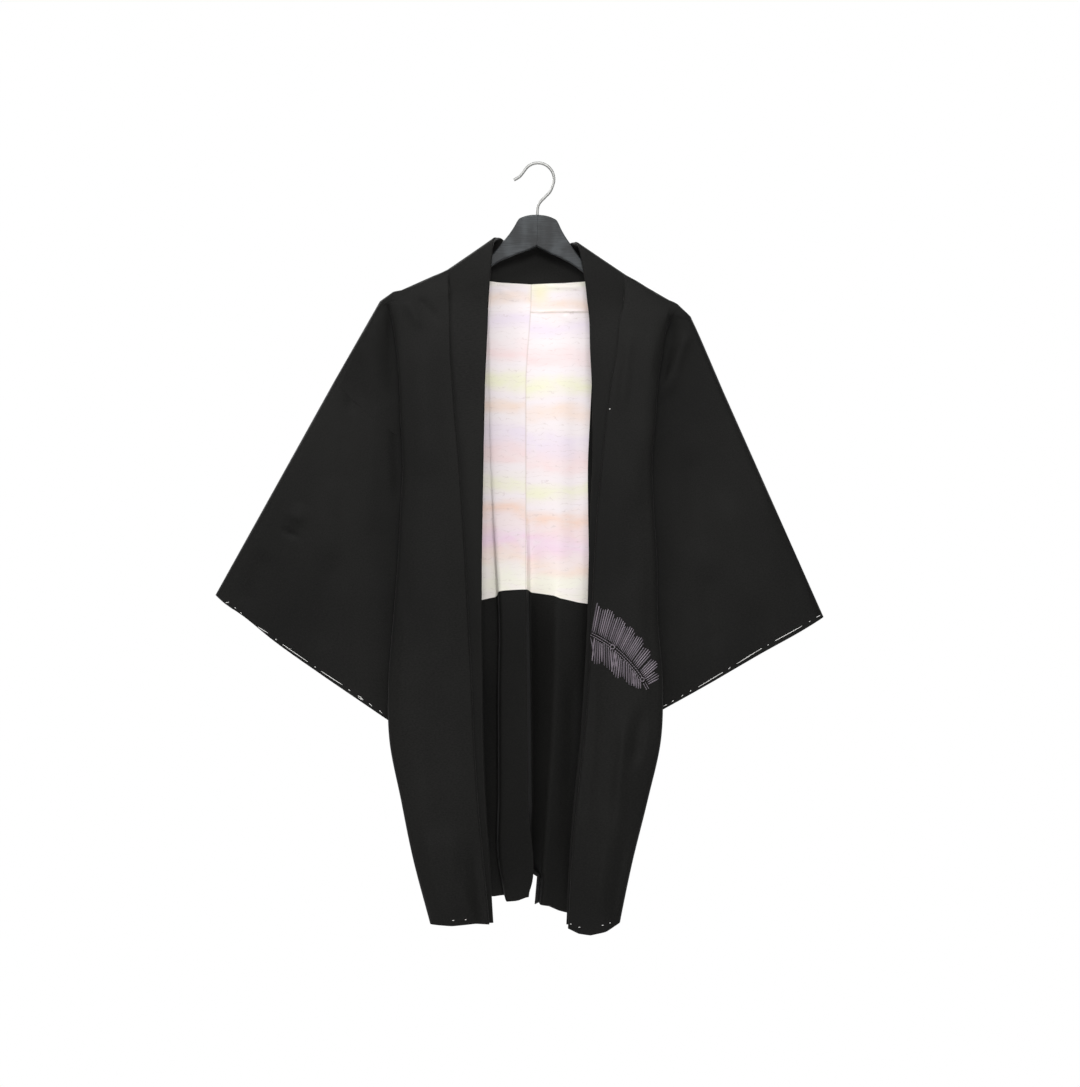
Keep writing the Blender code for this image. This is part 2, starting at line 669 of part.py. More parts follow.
def build_collar(silk):
    """One strip folded double, laid round from the right hem to the left hem."""
    stations = collar_stations("right")[::-1] + collar_stations("left")[1:]
    headings = np.gradient([(seam + fold) / 2 for seam, fold, _, _ in stations], axis=0)
    rows = []
    for (seam, fold, leaves, bend), heading in zip(stations, headings):
        inward = (fold - seam) / np.linalg.norm(fold - seam)
        outward = np.cross(inward, heading)
        outward /= np.linalg.norm(outward)
        outer = seam + inward * leaves[0] + outward * leaves[1]
        inner = seam + inward * leaves[2] + outward * leaves[3]
        fold_outer = fold + outward * COLLAR_LEAF_GAP / 2
        fold_inner = fold - outward * COLLAR_LEAF_GAP / 2
        middle = mix(outer, fold_outer, 0.5)
        if bend is not None:
            middle = outer.copy()
            middle[0] = math.copysign(max(bend, abs(fold[0]) + BEND_MIN), seam[0])
        keys = (outer, middle, fold_outer, fold_inner, inner)
        rows.append(round_path(keys, COLLAR_RADII, COLLAR_POINTS, COLLAR_BETWEEN))
    cloth_object("collar", rows, silk)


# ---------------------------------------------------------------- lining
LINING_COLUMNS = 8         # columns of the back that it covers
LINING_TOP = 0.4           # where it meets the collar, as a share between rows 1 and 2
LINING_LAST = 10           # last whole row of the back that it covers
LINING_BEHIND = LAP + 0.1  # from the back's middle to its own
LINING_HEM_POWER = 1.5     # how late the hem's curve falls


def build_lining(lining):
    """The lining of the upper back, made from the back's points moved inwards."""
    for side in SIDES:
        backs = back_rows(side)
        rows = [[mix(backs[1][j], backs[2][j], LINING_TOP) for j in range(LINING_COLUMNS)]]
        rows += [backs[row][:LINING_COLUMNS] for row in PANEL_ROWS if 2 <= row <= LINING_LAST]
        centre, outer = LINING_HEM[side]
        hem = []
        for j in range(LINING_COLUMNS):
            height = mix(centre, outer, (j / (LINING_COLUMNS - 1))**LINING_HEM_POWER)
            above, below = backs[LINING_LAST][j], backs[LINING_LAST + 1][j]
            hem.append(mix(above, below, (above[2] - height) / (above[2] - below[2])))
        rows.append(hem)
        cloth_object("lining_" + side, moved_out(rows, -SIDES[side]["sign"] * LINING_BEHIND), lining)


# ---------------------------------------------------------------- hanger
HOOK_FOOT_X = -0.8
HOOK_NECK = ((-0.5, -57.0), (2.0, -50.0), (8.5, -43.0), (15.5, -35.5))
HOOK_ARC = (-20.0, 150.0)  # degrees of the round part, from the neck to the tip
HOOK_ARC_STEPS = 8
HOOK_TIP = ((-23.6, -15.5), (-31.2, -20.2))
HOOK_POINTS = 34


def turned(x, z):
    """A hanger point turned by its tilt about the middle of its top edge."""
    pivot = HANGER_OUTLINE[0][1]
    c, s = math.cos(HANGER_TILT), math.sin(HANGER_TILT)
    return (x * c + (z - pivot) * s, pivot - x * s + (z - pivot) * c)


def build_hanger(wood):
    """A flat board cut to the outline, with rounded rims."""
    top = [(x, z) for x, z, _ in HANGER_OUTLINE]
    bottom = [(x, z) for x, _, z in HANGER_OUTLINE]
    outline = [(-x, z) for x, z in reversed(top)] + top[1:]
    outline += bottom[::-1] + [(-x, z) for x, z in bottom[1:]]
    bm = bmesh.new()
    corners = []
    for x, z in outline:
        x, z = turned(x, z)
        corners.append(bm.verts.new((x * MM, -HANGER_DEPTH / 2 * MM, z * MM)))
    face = bm.faces.new(corners)
    grown = bmesh.ops.extrude_face_region(bm, geom=[face])
    moved = [v for v in grown["geom"] if isinstance(v, bmesh.types.BMVert)]
    bmesh.ops.translate(bm, verts=moved, vec=(0.0, HANGER_DEPTH * MM, 0.0))
    bmesh.ops.recalc_face_normals(bm, faces=bm.faces)
    rims = [e for e in bm.edges if abs(e.verts[0].co.y - e.verts[1].co.y) < 1e-6]
    bmesh.ops.bevel(bm, geom=rims, offset=HANGER_BEVEL * MM, affect="EDGES", segments=2,
                    profile=0.5, material=-1, clamp_overlap=True)
    mesh = bpy.data.meshes.new("hanger_body")
    bm.to_mesh(mesh)
    bm.free()
    mesh.shade_smooth()
    mesh.set_sharp_from_angle(angle=math.radians(50))
    make_object("hanger_body", mesh, wood)


def build_hook(steel):
    """Bent wire: a straight foot, a neck, the round of the hook and its flared tip."""
    centre = WIRE_DIAMETER / 2 - HOOK_RADIUS
    route = [(HOOK_FOOT_X, HANGER_OUTLINE[0][1] + SEAM_GAP)] + list(HOOK_NECK)
    for k in range(HOOK_ARC_STEPS + 1):
        angle = math.radians(mix(*HOOK_ARC, k / HOOK_ARC_STEPS))
        route.append((HOOK_RADIUS * math.cos(angle), centre + HOOK_RADIUS * math.sin(angle)))
    route += HOOK_TIP
    curve = bpy.data.curves.new("hanger_hook", "CURVE")
    curve.dimensions = "3D"
    curve.bevel_depth = WIRE_DIAMETER / 2 * MM
    curve.bevel_resolution = 2
    curve.use_fill_caps = True
    spline = curve.splines.new("POLY")
    spline.points.add(HOOK_POINTS - 1)
    for i, point in enumerate(spline.points):
        x, z = smooth(range(len(route)), route, i / (HOOK_POINTS - 1) * (len(route) - 1))
        point.co = (x * MM, 0.0, z * MM, 1.0)
    make_object("hanger_hook", curve, steel)


# ---------------------------------------------------------------- the whole jacket
def build():
    for thing in list(bpy.data.objects):
        bpy.data.objects.remove(thing, do_unlink=True)
    silk = coat("black_silk", (0.018, 0.017, 0.016), 0.62)
    build_panels(silk)
    build_sleeves(silk)
    build_gussets(silk)
    build_collar(silk)
    build_lining(coat("lining_silk", (0.86, 0.72, 0.74), 0.5))
    build_hanger(coat("charcoal_wood", (0.036, 0.04, 0.043), 0.45))
    build_hook(coat("hook_steel", (0.72, 0.72, 0.72), 0.22, 1.0))


build()
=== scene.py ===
"""A haori jacket of black silk crepe, hung open on a dark wooden hanger.

Sizes are in millimetres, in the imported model's frame: +Z up, +X to the wearer's left,
-Y towards the front, and the origin at the inner top of the hanger's hook.
"""

import math

import bmesh
import bpy
import numpy as np
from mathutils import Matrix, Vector, noise
from mathutils.bvhtree import BVHTree


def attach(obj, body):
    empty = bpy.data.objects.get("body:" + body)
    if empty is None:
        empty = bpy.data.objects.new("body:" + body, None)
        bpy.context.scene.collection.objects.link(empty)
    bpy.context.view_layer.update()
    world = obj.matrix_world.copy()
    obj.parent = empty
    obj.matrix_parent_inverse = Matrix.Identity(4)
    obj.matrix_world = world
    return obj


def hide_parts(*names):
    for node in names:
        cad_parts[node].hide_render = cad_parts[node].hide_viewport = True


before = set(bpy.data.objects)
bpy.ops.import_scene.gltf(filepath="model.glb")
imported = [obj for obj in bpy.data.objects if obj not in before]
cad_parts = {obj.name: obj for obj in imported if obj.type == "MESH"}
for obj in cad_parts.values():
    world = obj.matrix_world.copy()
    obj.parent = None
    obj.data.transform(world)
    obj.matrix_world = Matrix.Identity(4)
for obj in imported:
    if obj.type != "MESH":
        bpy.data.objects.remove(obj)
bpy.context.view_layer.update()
MM = 0.001

# ---------------------------------------------------------------- the place it hangs in
# The jacket hangs free over a plain pale floor, a round platform, in the even white light
# of large softboxes: three before it, one above it and two behind it for the other views.
IMAGE_WIDTH, IMAGE_HEIGHT = 1080, 1087
MM_PER_PIXEL = 1.30
HOOK_PIXEL = (538.0, 164.5)  # where the frame's origin falls
EYE_DISTANCE = 3600.0
SENSOR = 36.0
FLOOR_Z = -1650.0
FLOOR_RADIUS = 2100.0
FLOOR_SIDES = 96
FLOOR_GREY = (0.8, 0.8, 0.8, 1.0)
FLOOR_ROUGHNESS = 0.9
SOFTBOXES = (  # place, size, power in watts
    ((-2000.0, -1500.0, 1100.0), 1100.0, 22.0),
    ((100.0, -3300.0, 950.0), 1000.0, 58.0),
    ((1900.0, -2000.0, 700.0), 1200.0, 4.0),
    ((0.0, -900.0, 1300.0), 1000.0, 16.0),
    ((-1900.0, 1900.0, 900.0), 1300.0, 62.0),
    ((1800.0, 2100.0, 600.0), 1300.0, 36.0),
)
ROOM_LIGHT = 0.31  # how much the white surroundings light the jacket
GARMENT_MIDDLE = Vector((0.0, 0.0, -500.0)) * MM

eye = bpy.data.cameras.new("eye")
eye.sensor_width = SENSOR
eye.lens = SENSOR * EYE_DISTANCE / (IMAGE_HEIGHT * MM_PER_PIXEL)
camera = bpy.data.objects.new("eye", eye)
camera.location = Vector((
    (IMAGE_WIDTH / 2 - HOOK_PIXEL[0]) * MM_PER_PIXEL,
    -EYE_DISTANCE,
    (HOOK_PIXEL[1] - IMAGE_HEIGHT / 2) * MM_PER_PIXEL,
)) * MM
camera.rotation_euler = (math.pi / 2, 0.0, 0.0)
bpy.context.collection.objects.link(camera)
bpy.context.scene.camera = camera

for number, (place, size, power) in enumerate(SOFTBOXES):
    softbox = bpy.data.lights.new(f"softbox_{number}", "AREA")
    softbox.size = size * MM
    softbox.energy = power
    lamp = bpy.data.objects.new(softbox.name, softbox)
    lamp.location = Vector(place) * MM
    lamp.rotation_euler = (GARMENT_MIDDLE - lamp.location).to_track_quat("-Z", "Y").to_euler()
    bpy.context.collection.objects.link(lamp)

room = bpy.data.worlds.new("white_room")
room.use_nodes = True
backdrop = room.node_tree.nodes["Background"]
backdrop.inputs["Color"].default_value = (1.0, 1.0, 1.0, 1.0)
seen = room.node_tree.nodes.new("ShaderNodeLightPath")
level = room.node_tree.nodes.new("ShaderNodeMapRange")
level.inputs["To Min"].default_value = ROOM_LIGHT
room.node_tree.links.new(seen.outputs["Is Camera Ray"], level.inputs["Value"])
room.node_tree.links.new(level.outputs["Result"], backdrop.inputs["Strength"])
bpy.context.scene.world = room
bpy.context.scene.view_settings.view_transform = "Standard"

floor_paint = bpy.data.materials.new("floor_paint")
floor_paint.use_nodes = True
paint = floor_paint.node_tree.nodes["Principled BSDF"].inputs
paint["Base Color"].default_value = FLOOR_GREY
paint["Roughness"].default_value = FLOOR_ROUGHNESS
floor_shape = bmesh.new()
bmesh.ops.create_circle(floor_shape, cap_ends=True, segments=FLOOR_SIDES, radius=FLOOR_RADIUS * MM)
bmesh.ops.translate(floor_shape, verts=floor_shape.verts, vec=(0.0, 0.0, FLOOR_Z * MM))
floor_mesh = bpy.data.meshes.new("floor")
floor_shape.to_mesh(floor_mesh)
floor_shape.free()
floor_mesh.materials.append(floor_paint)
floor = bpy.data.objects.new("floor", floor_mesh)
bpy.context.collection.objects.link(floor)


# ---------------------------------------------------------------- hanger arms
# Two arms sawn from flat maple board, glued end to end at the middle, rounded over and
# stained charcoal under a satin varnish. The joint shows as a fine groove.
class Flow:
    """A value on its way through a material; sums on it add Math nodes."""

    def __init__(self, finish, socket):
        self.finish = finish
        self.socket = socket

    def sum(self, operation, first, second):
        return self.finish.node("ShaderNodeMath", {"operation": operation}, {0: first, 1: second})

    def __add__(self, other):
        return self.sum("ADD", self, other)

    def __sub__(self, other):
        return self.sum("SUBTRACT", self, other)

    def __rsub__(self, other):
        return self.sum("SUBTRACT", other, self)

    def __mul__(self, other):
        return self.sum("MULTIPLY", self, other)

    def __truediv__(self, other):
        return self.sum("DIVIDE", self, other)

    __radd__ = __add__
    __rmul__ = __mul__

    def wave(self):
        return self.sum("SINE", self, 0.0)

    def lines(self, pitch):
        """The phase of lines a pitch apart."""
        return self * (2 * math.pi / (pitch * MM))

    def size(self):
        return self.finish.node("ShaderNodeMath", {"operation": "ABSOLUTE"}, {0: self})

    def between(self, low, high):
        """0 where the value is below low, 1 where it is above high, smooth between."""
        return self.finish.node("ShaderNodeMapRange", {"interpolation_type": "SMOOTHSTEP"},
                                {"Value": self, "From Min": low, "From Max": high})


class Finish:
    """One material, with a single way to add any node to it."""

    def __init__(self, name, **surface):
        self.material = bpy.data.materials.new(name)
        self.material.use_nodes = True
        self.tree = self.material.node_tree
        self.surface = self.tree.nodes["Principled BSDF"]
        for socket, value in surface.items():
            self.wear(socket.replace("_", " "), value)

    def join(self, socket, value):
        if isinstance(value, Flow):
            self.tree.links.new(value.socket, socket)
        else:
            socket.default_value = (*value, 1.0) if socket.type == "RGBA" else value

    def node(self, kind, settings, inputs, output=0):
        made = self.tree.nodes.new(kind)
        for name, value in settings.items():
            if name == "stops":
                made.color_ramp.interpolation = "EASE"
                ramp = made.color_ramp.elements
                while len(ramp) < len(value):
                    ramp.new(1.0)
                for stop, (place, colour) in zip(ramp, value):
                    stop.position = place
                    stop.color = (*colour, 1.0)
            else:
                setattr(made, name, value)
        for key, value in inputs.items():
            self.join(made.inputs[key], value)
        return Flow(self, made.outputs[output])

    def place(self, uv, scale):
        """Object coordinates or a UV map's, scaled."""
        if uv:
            where = self.node("ShaderNodeUVMap", {"uv_map": uv}, {})
        else:
            where = self.node("ShaderNodeTexCoord", {}, {}, "Object")
        return self.node("ShaderNodeMapping", {}, {"Vector": where, "Scale": scale})

    def grain(self, where, scale, detail=2.0, distortion=0.0):
        return self.node("ShaderNodeTexNoise", {}, {
            "Vector": where, "Scale": scale, "Detail": detail, "Distortion": distortion})

    def clouds(self, scale, detail=2.0, distortion=0.0, uv=""):
        """Noise stretched along the axes by a scale for each."""
        return self.grain(self.place(uv, scale), 1.0, detail, distortion)

    def parts(self, where):
        split = self.node("ShaderNodeSeparateXYZ", {}, {"Vector": where})
        return [Flow(self, socket) for socket in split.socket.node.outputs]

    def tint(self, amount, first, second):
        """A colour between two, by amount."""
        return self.node("ShaderNodeMix", {"data_type": "RGBA"}, {0: amount, 6: first, 7: second}, 2)

    def relief(self, height, distance, strength=1.0):
        self.wear("Normal", self.node("ShaderNodeBump", {}, {
            "Height": height, "Distance": distance * MM, "Strength": strength}))

    def wear(self, socket, value):
        self.join(self.surface.inputs[socket], value)


def show(name, data, finish, replaced=()):
    """A finished piece: linked, coated, carried by the body, and hiding the parts it replaces."""
    piece = bpy.data.objects.new(name, data)
    bpy.context.collection.objects.link(piece)
    data.materials.clear()
    data.materials.append(finish.material)
    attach(piece, "root")
    if replaced:
        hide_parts(*replaced)
    return piece


def smooth(stations, values, at):
    """Cubic curve through values at rising stations, read at one place."""
    stations = np.asarray(stations, float)
    values = np.asarray(values, float)
    steps = np.diff(stations)
    shaped = steps.reshape((-1,) + (1,) * (values.ndim - 1))
    rates = np.diff(values, axis=0) / shaped
    slopes = np.empty_like(values)
    slopes[0] = rates[0]
    slopes[-1] = rates[-1]
    slopes[1:-1] = (rates[:-1] * shaped[1:] + rates[1:] * shaped[:-1]) / (shaped[1:] + shaped[:-1])
    at = min(max(at, stations[0]), stations[-1])
    i = min(int(np.searchsorted(stations, at, side="right")) - 1, len(steps) - 1)
    u = (at - stations[i]) / steps[i]
    start, end = values[i], values[i + 1]
    pull_start, pull_end = slopes[i] * steps[i], slopes[i + 1] * steps[i]
    return ((2 * u**3 - 3 * u**2 + 1) * start + (u**3 - 2 * u**2 + u) * pull_start
            + (-2 * u**3 + 3 * u**2) * end + (u**3 - u**2) * pull_end)


def mix(a, b, share):
    return a + (b - a) * share


HANGER_DEPTH = 10.0
HANGER_TILT = math.radians(2.3)
HANGER_TOP = -66.0
ARM_ROUND = 2.4  # radius of the rounded edges
JOINT_ROUND = 0.07  # share of it along the glued joint
JOINT_REACH = 5.0  # from the middle, where upright edges belong to the joint
SHARP_EDGE = math.radians(60)  # sharper edges than this are rounded
ARM_STEPS = 60
ARM_SPACING = 1.25  # above 1 the steps are closer near the joint
# One arm from the joint to its tip: x, top edge, bottom edge
ARM_OUTLINE = (
    (0.0, -65.6, -107.0),
    (12.0, -66.8, -112.5),
    (20.0, -69.4, -116.0),
    (25.6, -73.0, -117.8),
    (30.0, -81.5, -120.0),
    (35.0, -90.0, -122.4),
    (43.0, -101.0, -126.0),
    (56.0, -118.0, -134.0),
    (70.0, -131.0, -144.0),
    (86.0, -141.0, -153.0),
    (112.0, -151.0, -163.0),
    (150.0, -164.0, -175.5),
    (178.0, -174.5, -184.0),
    (186.0, -177.5, -186.5),
)

stained_wood = Finish("stained_wood", Roughness=0.5, Specular_IOR_Level=0.3)
streaks = stained_wood.grain(stained_wood.place("", (14.0, 60.0, 260.0)), 3.0, 5.0, 0.4)
pores = stained_wood.clouds((120.0, 400.0, 1600.0))
uneven_stain = stained_wood.clouds((42.0, 20.0, 24.0))
stained_wood.wear("Base Color", stained_wood.tint(
    (0.35 * streaks + 0.65 * uneven_stain).between(0.38, 0.64),
    (0.014, 0.0155, 0.017), (0.052, 0.058, 0.062)))
stained_wood.wear("Roughness", 0.40 + 0.2 * uneven_stain)
stained_wood.relief(0.6 * streaks + 0.4 * pores, 0.12)

for side, sign in (("right", -1.0), ("left", 1.0)):
    shape = bmesh.new()
    bmesh.ops.create_grid(shape, x_segments=ARM_STEPS, y_segments=4, size=0.5)
    stations = [row[0] for row in ARM_OUTLINE]
    c, s = math.cos(HANGER_TILT), math.sin(HANGER_TILT)
    for v in shape.verts:
        reach = (v.co.x + 0.5)**ARM_SPACING * stations[-1]
        top, bottom = smooth(stations, [row[1:] for row in ARM_OUTLINE], reach)
        x, z = sign * reach, mix(bottom, top, v.co.y + 0.5) - HANGER_TOP
        v.co = Vector((x * c + z * s, -HANGER_DEPTH / 2, HANGER_TOP - x * s + z * c)) * MM
    grown = bmesh.ops.extrude_face_region(shape, geom=shape.faces[:])
    moved = [v for v in grown["geom"] if isinstance(v, bmesh.types.BMVert)]
    bmesh.ops.translate(shape, verts=moved, vec=(0.0, HANGER_DEPTH * MM, 0.0))
    bmesh.ops.recalc_face_normals(shape, faces=shape.faces)
    weights = shape.edges.layers.float.new("bevel_weight_edge")
    for edge in shape.edges:
        flat = abs(edge.verts[0].co.y - edge.verts[1].co.y) < 1e-6
        if flat and edge.calc_face_angle() > SHARP_EDGE:
            tangent = edge.verts[1].co - edge.verts[0].co
            upright = abs(tangent.x) < abs(tangent.z) * 0.2
            joint = upright and abs(edge.verts[0].co.x) < JOINT_REACH * MM
            edge[weights] = JOINT_ROUND if joint else 1.0
    arm_mesh = bpy.data.meshes.new("hanger_arm_" + side)
    shape.to_mesh(arm_mesh)
    shape.free()
    arm_mesh.shade_smooth()
    arm = show("hanger_arm_" + side, arm_mesh, stained_wood, ("hanger_body",))
    rounding = arm.modifiers.new("rounding", "BEVEL")
    rounding.limit_method = "WEIGHT"
    rounding.width = ARM_ROUND * MM
    rounding.segments = 4
    rounding.harden_normals = True


# ---------------------------------------------------------------- hook
# Bright nickel-plated steel wire, screwed into the top of the joint, bent to a round hook
# whose end flares outwards.
WIRE = 3.9
HOOK_RADIUS = 20.8  # to the wire's middle
HOOK_FOOT = (-0.8, HANGER_TOP - 5.0)
HOOK_NECK = ((-0.5, -57.0), (2.0, -50.0), (8.5, -43.0), (15.5, -35.5))
HOOK_ARC = (-20.0, 150.0)  # degrees of the round part, from the neck to the tip
HOOK_ARC_STEPS = 8
HOOK_TIP = ((-23.6, -15.5), (-31.2, -20.2))
HOOK_POINTS = 160

plated_steel = Finish("plated_steel", Metallic=1.0)
drawn = plated_steel.clouds((60.0, 60.0, 60.0))
plated_steel.wear("Roughness", 0.5 + 0.1 * drawn)
plated_steel.wear("Base Color", plated_steel.tint(drawn, (0.36, 0.36, 0.35), (0.45, 0.45, 0.44)))

hook_middle = WIRE / 2 - HOOK_RADIUS
route = [HOOK_FOOT] + list(HOOK_NECK)
for k in range(HOOK_ARC_STEPS + 1):
    angle = math.radians(mix(*HOOK_ARC, k / HOOK_ARC_STEPS))
    route.append((HOOK_RADIUS * math.cos(angle), hook_middle + HOOK_RADIUS * math.sin(angle)))
route += HOOK_TIP
wire = bpy.data.curves.new("hook_wire", "CURVE")
wire.dimensions = "3D"
wire.bevel_depth = WIRE / 2 * MM
wire.bevel_resolution = 6
wire.use_fill_caps = True
bend = wire.splines.new("POLY")
bend.points.add(HOOK_POINTS - 1)
for i, point in enumerate(bend.points):
    x, z = smooth(range(len(route)), route, i / (HOOK_POINTS - 1) * (len(route) - 1))
    point.co = (x * MM, 0.0, z * MM, 1.0)
bend.use_smooth = True
show("hook_wire", wire, plated_steel, ("hanger_hook",))


# ---------------------------------------------------------------- body panels
# Each half of the body is one length of doubled black silk crepe that runs from the front
# hem over the shoulder to the back hem. Its outer side is folded round the hanger's tip and
# tucked in; the two halves are sewn together down the middle of the back.
WALL = 1.1  # doubled silk
COLLAR_WIDTH = 53.0
SLEEVE_HALF_DEPTH = 8.0
UNDERARM_HALF_DEPTH = 5.8
SLEEVE_FOLD_ROUND = 9.0
ARMHOLE_SAG = 10.0
SIDES = {  # where each side's main corners hang, as (x, z)
    "right": dict(
        sign=-1.0,
        neck_point=(-116.0, -136.5),
        shoulder=((-139.0, -147.5), (-173.0, -162.5), (-197.0, -170.5)),
        tip=(-205.0, -178.0),
        drop=(-233.0, -227.0),
        armhole_top=(-265.0, -283.0),
        underarm=(-121.0, -388.0),
        cuff_top=(-420.0, -562.0),
        cuff_bottom=(-138.0, -760.0),
    ),
    "left": dict(
        sign=1.0,
        neck_point=(112.0, -143.0),
        shoulder=((139.0, -158.0), (161.0, -173.0), (182.0, -182.5)),
        tip=(198.0, -198.0),
        drop=(213.0, -231.0),
        armhole_top=(240.0, -294.0),
        underarm=(96.0, -388.0),
        cuff_top=(371.0, -589.0),
        cuff_bottom=(100.0, -743.0),
    ),
}
# Fronts, x at each level: collar's opening edge, groove over the collar, outer fold, tuck
FRONT_COLUMNS = ("z", "opening", "groove", "fold", "tuck")
FRONT_LEVELS = {
    "right": (
        (-188, -65, -115, -189, -195),
        (-240, -67, -114, -183, -172),
        (-284, -69, -111, -179, -158),
        (-336, -70, -107, -177, -139),
        (-388, -71, -102, -174, -121),
        (-450, -72, -98, -177, -117),
        (-514, -73, -94, -180, -113),
        (-591, -73, -90, -186, -109),
        (-668, -72, -86, -192, -106),
        (-745, -71, -83, -191, -103),
        (-822, -68, -78, -176, -100),
        (-899, -63, -71, -160, -98),
        (-981, -58, -63, -138, -95),
    ),
    "left": (
        (-204, 67, 106, 166, 172),
        (-244, 68, 102, 161, 156),
        (-284, 70, 95, 155, 140),
        (-336, 71, 88, 151, 118),
        (-388, 71, 83, 147, 96),
        (-450, 68, 77, 149, 95),
        (-514, 66, 73, 153, 95),
        (-591, 64, 69, 154, 94),
        (-668, 60, 66, 160, 92),
        (-745, 55, 60, 158, 90),
        (-822, 47, 51, 141, 86),
        (-899, 41, 44, 122, 80),
        (-983, 37, 39, 105, 74),
    ),
}
# Distances before the hanger's plane at each level; and the depth of the groove's pleat
FRONT_DEPTH_COLUMNS = ("z", "face", "crown", "inner", "tuck", "pleat")
FRONT_DEPTHS = (
    (-182, 14.0, 1.0, 12.6, 10.6, 1.4),
    (-236, 20.0, 2.0, 15.0, 12.0, 2.0),
    (-284, 24.0, 3.0, 17.0, 12.5, 3.0),
    (-336, 28.0, 4.0, 19.0, 12.0, 4.2),
    (-388, 31.0, 5.0, 19.0, 10.0, 5.2),
    (-450, 33.0, 6.0, 19.0, 12.5, 6.0),
    (-514, 35.0, 7.0, 20.0, 13.5, 6.8),
    (-591, 37.0, 8.0, 20.0, 13.5, 7.6),
    (-668, 39.0, 9.0, 20.0, 14.0, 8.4),
    (-745, 41.0, 9.0, 21.0, 16.0, 9.0),
    (-822, 43.0, 9.0, 23.0, 19.0, 9.4),
    (-899, 45.0, 9.0, 26.0, 22.0, 9.4),
    (-985, 47.0, 9.0, 29.0, 25.0, 9.0),
)
# Backs, x at each level: centre seam, crease beside it, outer fold, tuck
BACK_COLUMNS = ("z", "centre", "crease", "fold", "tuck")
BACK_LEVELS = {
    "right": (
        (-192, -14.5, -64, -187, -192),
        (-240, -15.5, -63, -180, -172),
        (-290, -16, -62, -174, -157),
        (-340, -16, -61, -170, -139),
        (-388, -16, -60, -166, -121),
        (-450, -16, -57, -167, -117),
        (-520, -16, -53, -170, -113),
        (-600, -16, -49, -174, -109),
        (-680, -15, -50, -178, -106),
        (-760, -14, -50, -176, -103),
        (-830, -13, -50, -162, -100),
        (-900, -9, -51, -148, -98),
        (-962, -12.5, -42, -132, -95),
    ),
    "left": (
        (-206, -15, 26, 164, 171),
        (-246, -15.5, 26, 159, 156),
        (-290, -16, 26, 152, 139),
        (-340, -16, 26, 145, 118),
        (-388, -16, 26, 139, 96),
        (-450, -16, 26, 140, 95),
        (-520, -16, 26, 142, 95),
        (-600, -16, 24, 143, 94),
        (-680, -15, 22, 147, 92),
        (-760, -14, 18, 145, 90),
        (-830, -13, 13, 130, 86),
        (-900, -9, 8, 114, 80),
        (-968, -3.5, 4, 101, 74),
    ),
}
# Distances behind the hanger's plane at each level; the height of the centre's ripple and the
# depth of the recess beyond the right crease
BACK_DEPTH_COLUMNS = ("z", "centre", "outer", "ripple", "recess", "inner", "tuck")
BACK_DEPTHS = (
    (-190, 27.0, 15.0, 0.0, 0.5, 12.6, 10.6),
    (-240, 30.0, 22.0, 0.0, 1.0, 15.0, 12.0),
    (-290, 32.0, 27.0, 0.0, 1.0, 17.0, 12.5),
    (-340, 34.0, 31.0, 0.0, 1.5, 19.0, 12.0),
    (-388, 35.0, 34.0, 0.0, 2.0, 19.0, 10.0),
    (-450, 36.0, 36.0, 1.0, 2.0, 19.0, 12.5),
    (-520, 37.0, 38.0, 5.0, 3.0, 20.0, 13.5),
    (-600, 38.0, 40.0, 14.0, 7.0, 20.0, 13.5),
    (-680, 39.0, 42.0, 16.0, 10.0, 20.0, 14.0),
    (-760, 40.0, 43.0, 16.0, 10.0, 21.0, 16.0),
    (-830, 41.0, 44.0, 16.0, 10.0, 23.0, 19.0),
    (-900, 42.0, 45.0, 16.0, 10.0, 26.0, 22.0),
    (-968, 43.0, 46.0, 15.0, 9.0, 28.0, 25.0),
)
# Neck edge of the back from its centre to the neck point: share of x, of the rise, depth
NECK_EDGE = (
    (0.00, 0.00, 26.0),
    (0.35, 0.14, 23.5),
    (0.58, 0.31, 19.0),
    (0.76, 0.60, 14.0),
)
NECK_CENTRE = (-14.0, -151.0)
SHOULDER_ROLL = ((0.0, 0.0), (5.2, 1.0), (8.5, 5.0))  # distance from the crest, drop
NECK_FALL = (0.0, 2.0, 6.0)
SHOULDER_INSETS = (28.0, 25.0, 21.0, 17.0)
HOOK_ROW = len(SHOULDER_ROLL)
FIRST_LEVEL = HOOK_ROW + 1
UNDERARM_ROW = 8
HOOK_OUT = 1.0
HOOK_PLEAT = ((-0.6, -9.4), (-0.2, -12.4), (2.6, -13.0))
CREST_PLEAT = (2.0, 4.8)
FRONT_RADII = (0, 2.0, 2.0, 30, 30, 7, 7, 1.5, 1.5)
BACK_RADII = (0, 4, 4, 30, 30, 7, 7, 1.5, 1.5)
FRONT_CROWN = ((0.3, 0.8), (0.7, 1.0))  # share of the way to the fold, of the crown's depth
BACK_CROWN = {  # share of the way to the fold, extra depth, share of the ripple
    "right": ((0.35, 7.0, 0.0), (0.70, 4.0, 0.0)),
    "left": ((0.35, 2.0, -0.85), (0.70, 4.0, -0.1)),
}
TUCK_KEY = 7
TUCK_SLANT = 0.35
TUCK_TURN = 3.0
RECESS_SIDE = 2.5  # from the right crease to the bottom of the recess
RIPPLE_SIDE = 5.0
RIPPLE_DEEP = 0.85
RIPPLE_SEAM = 0.9  # share of the ripple's height at the centre seam
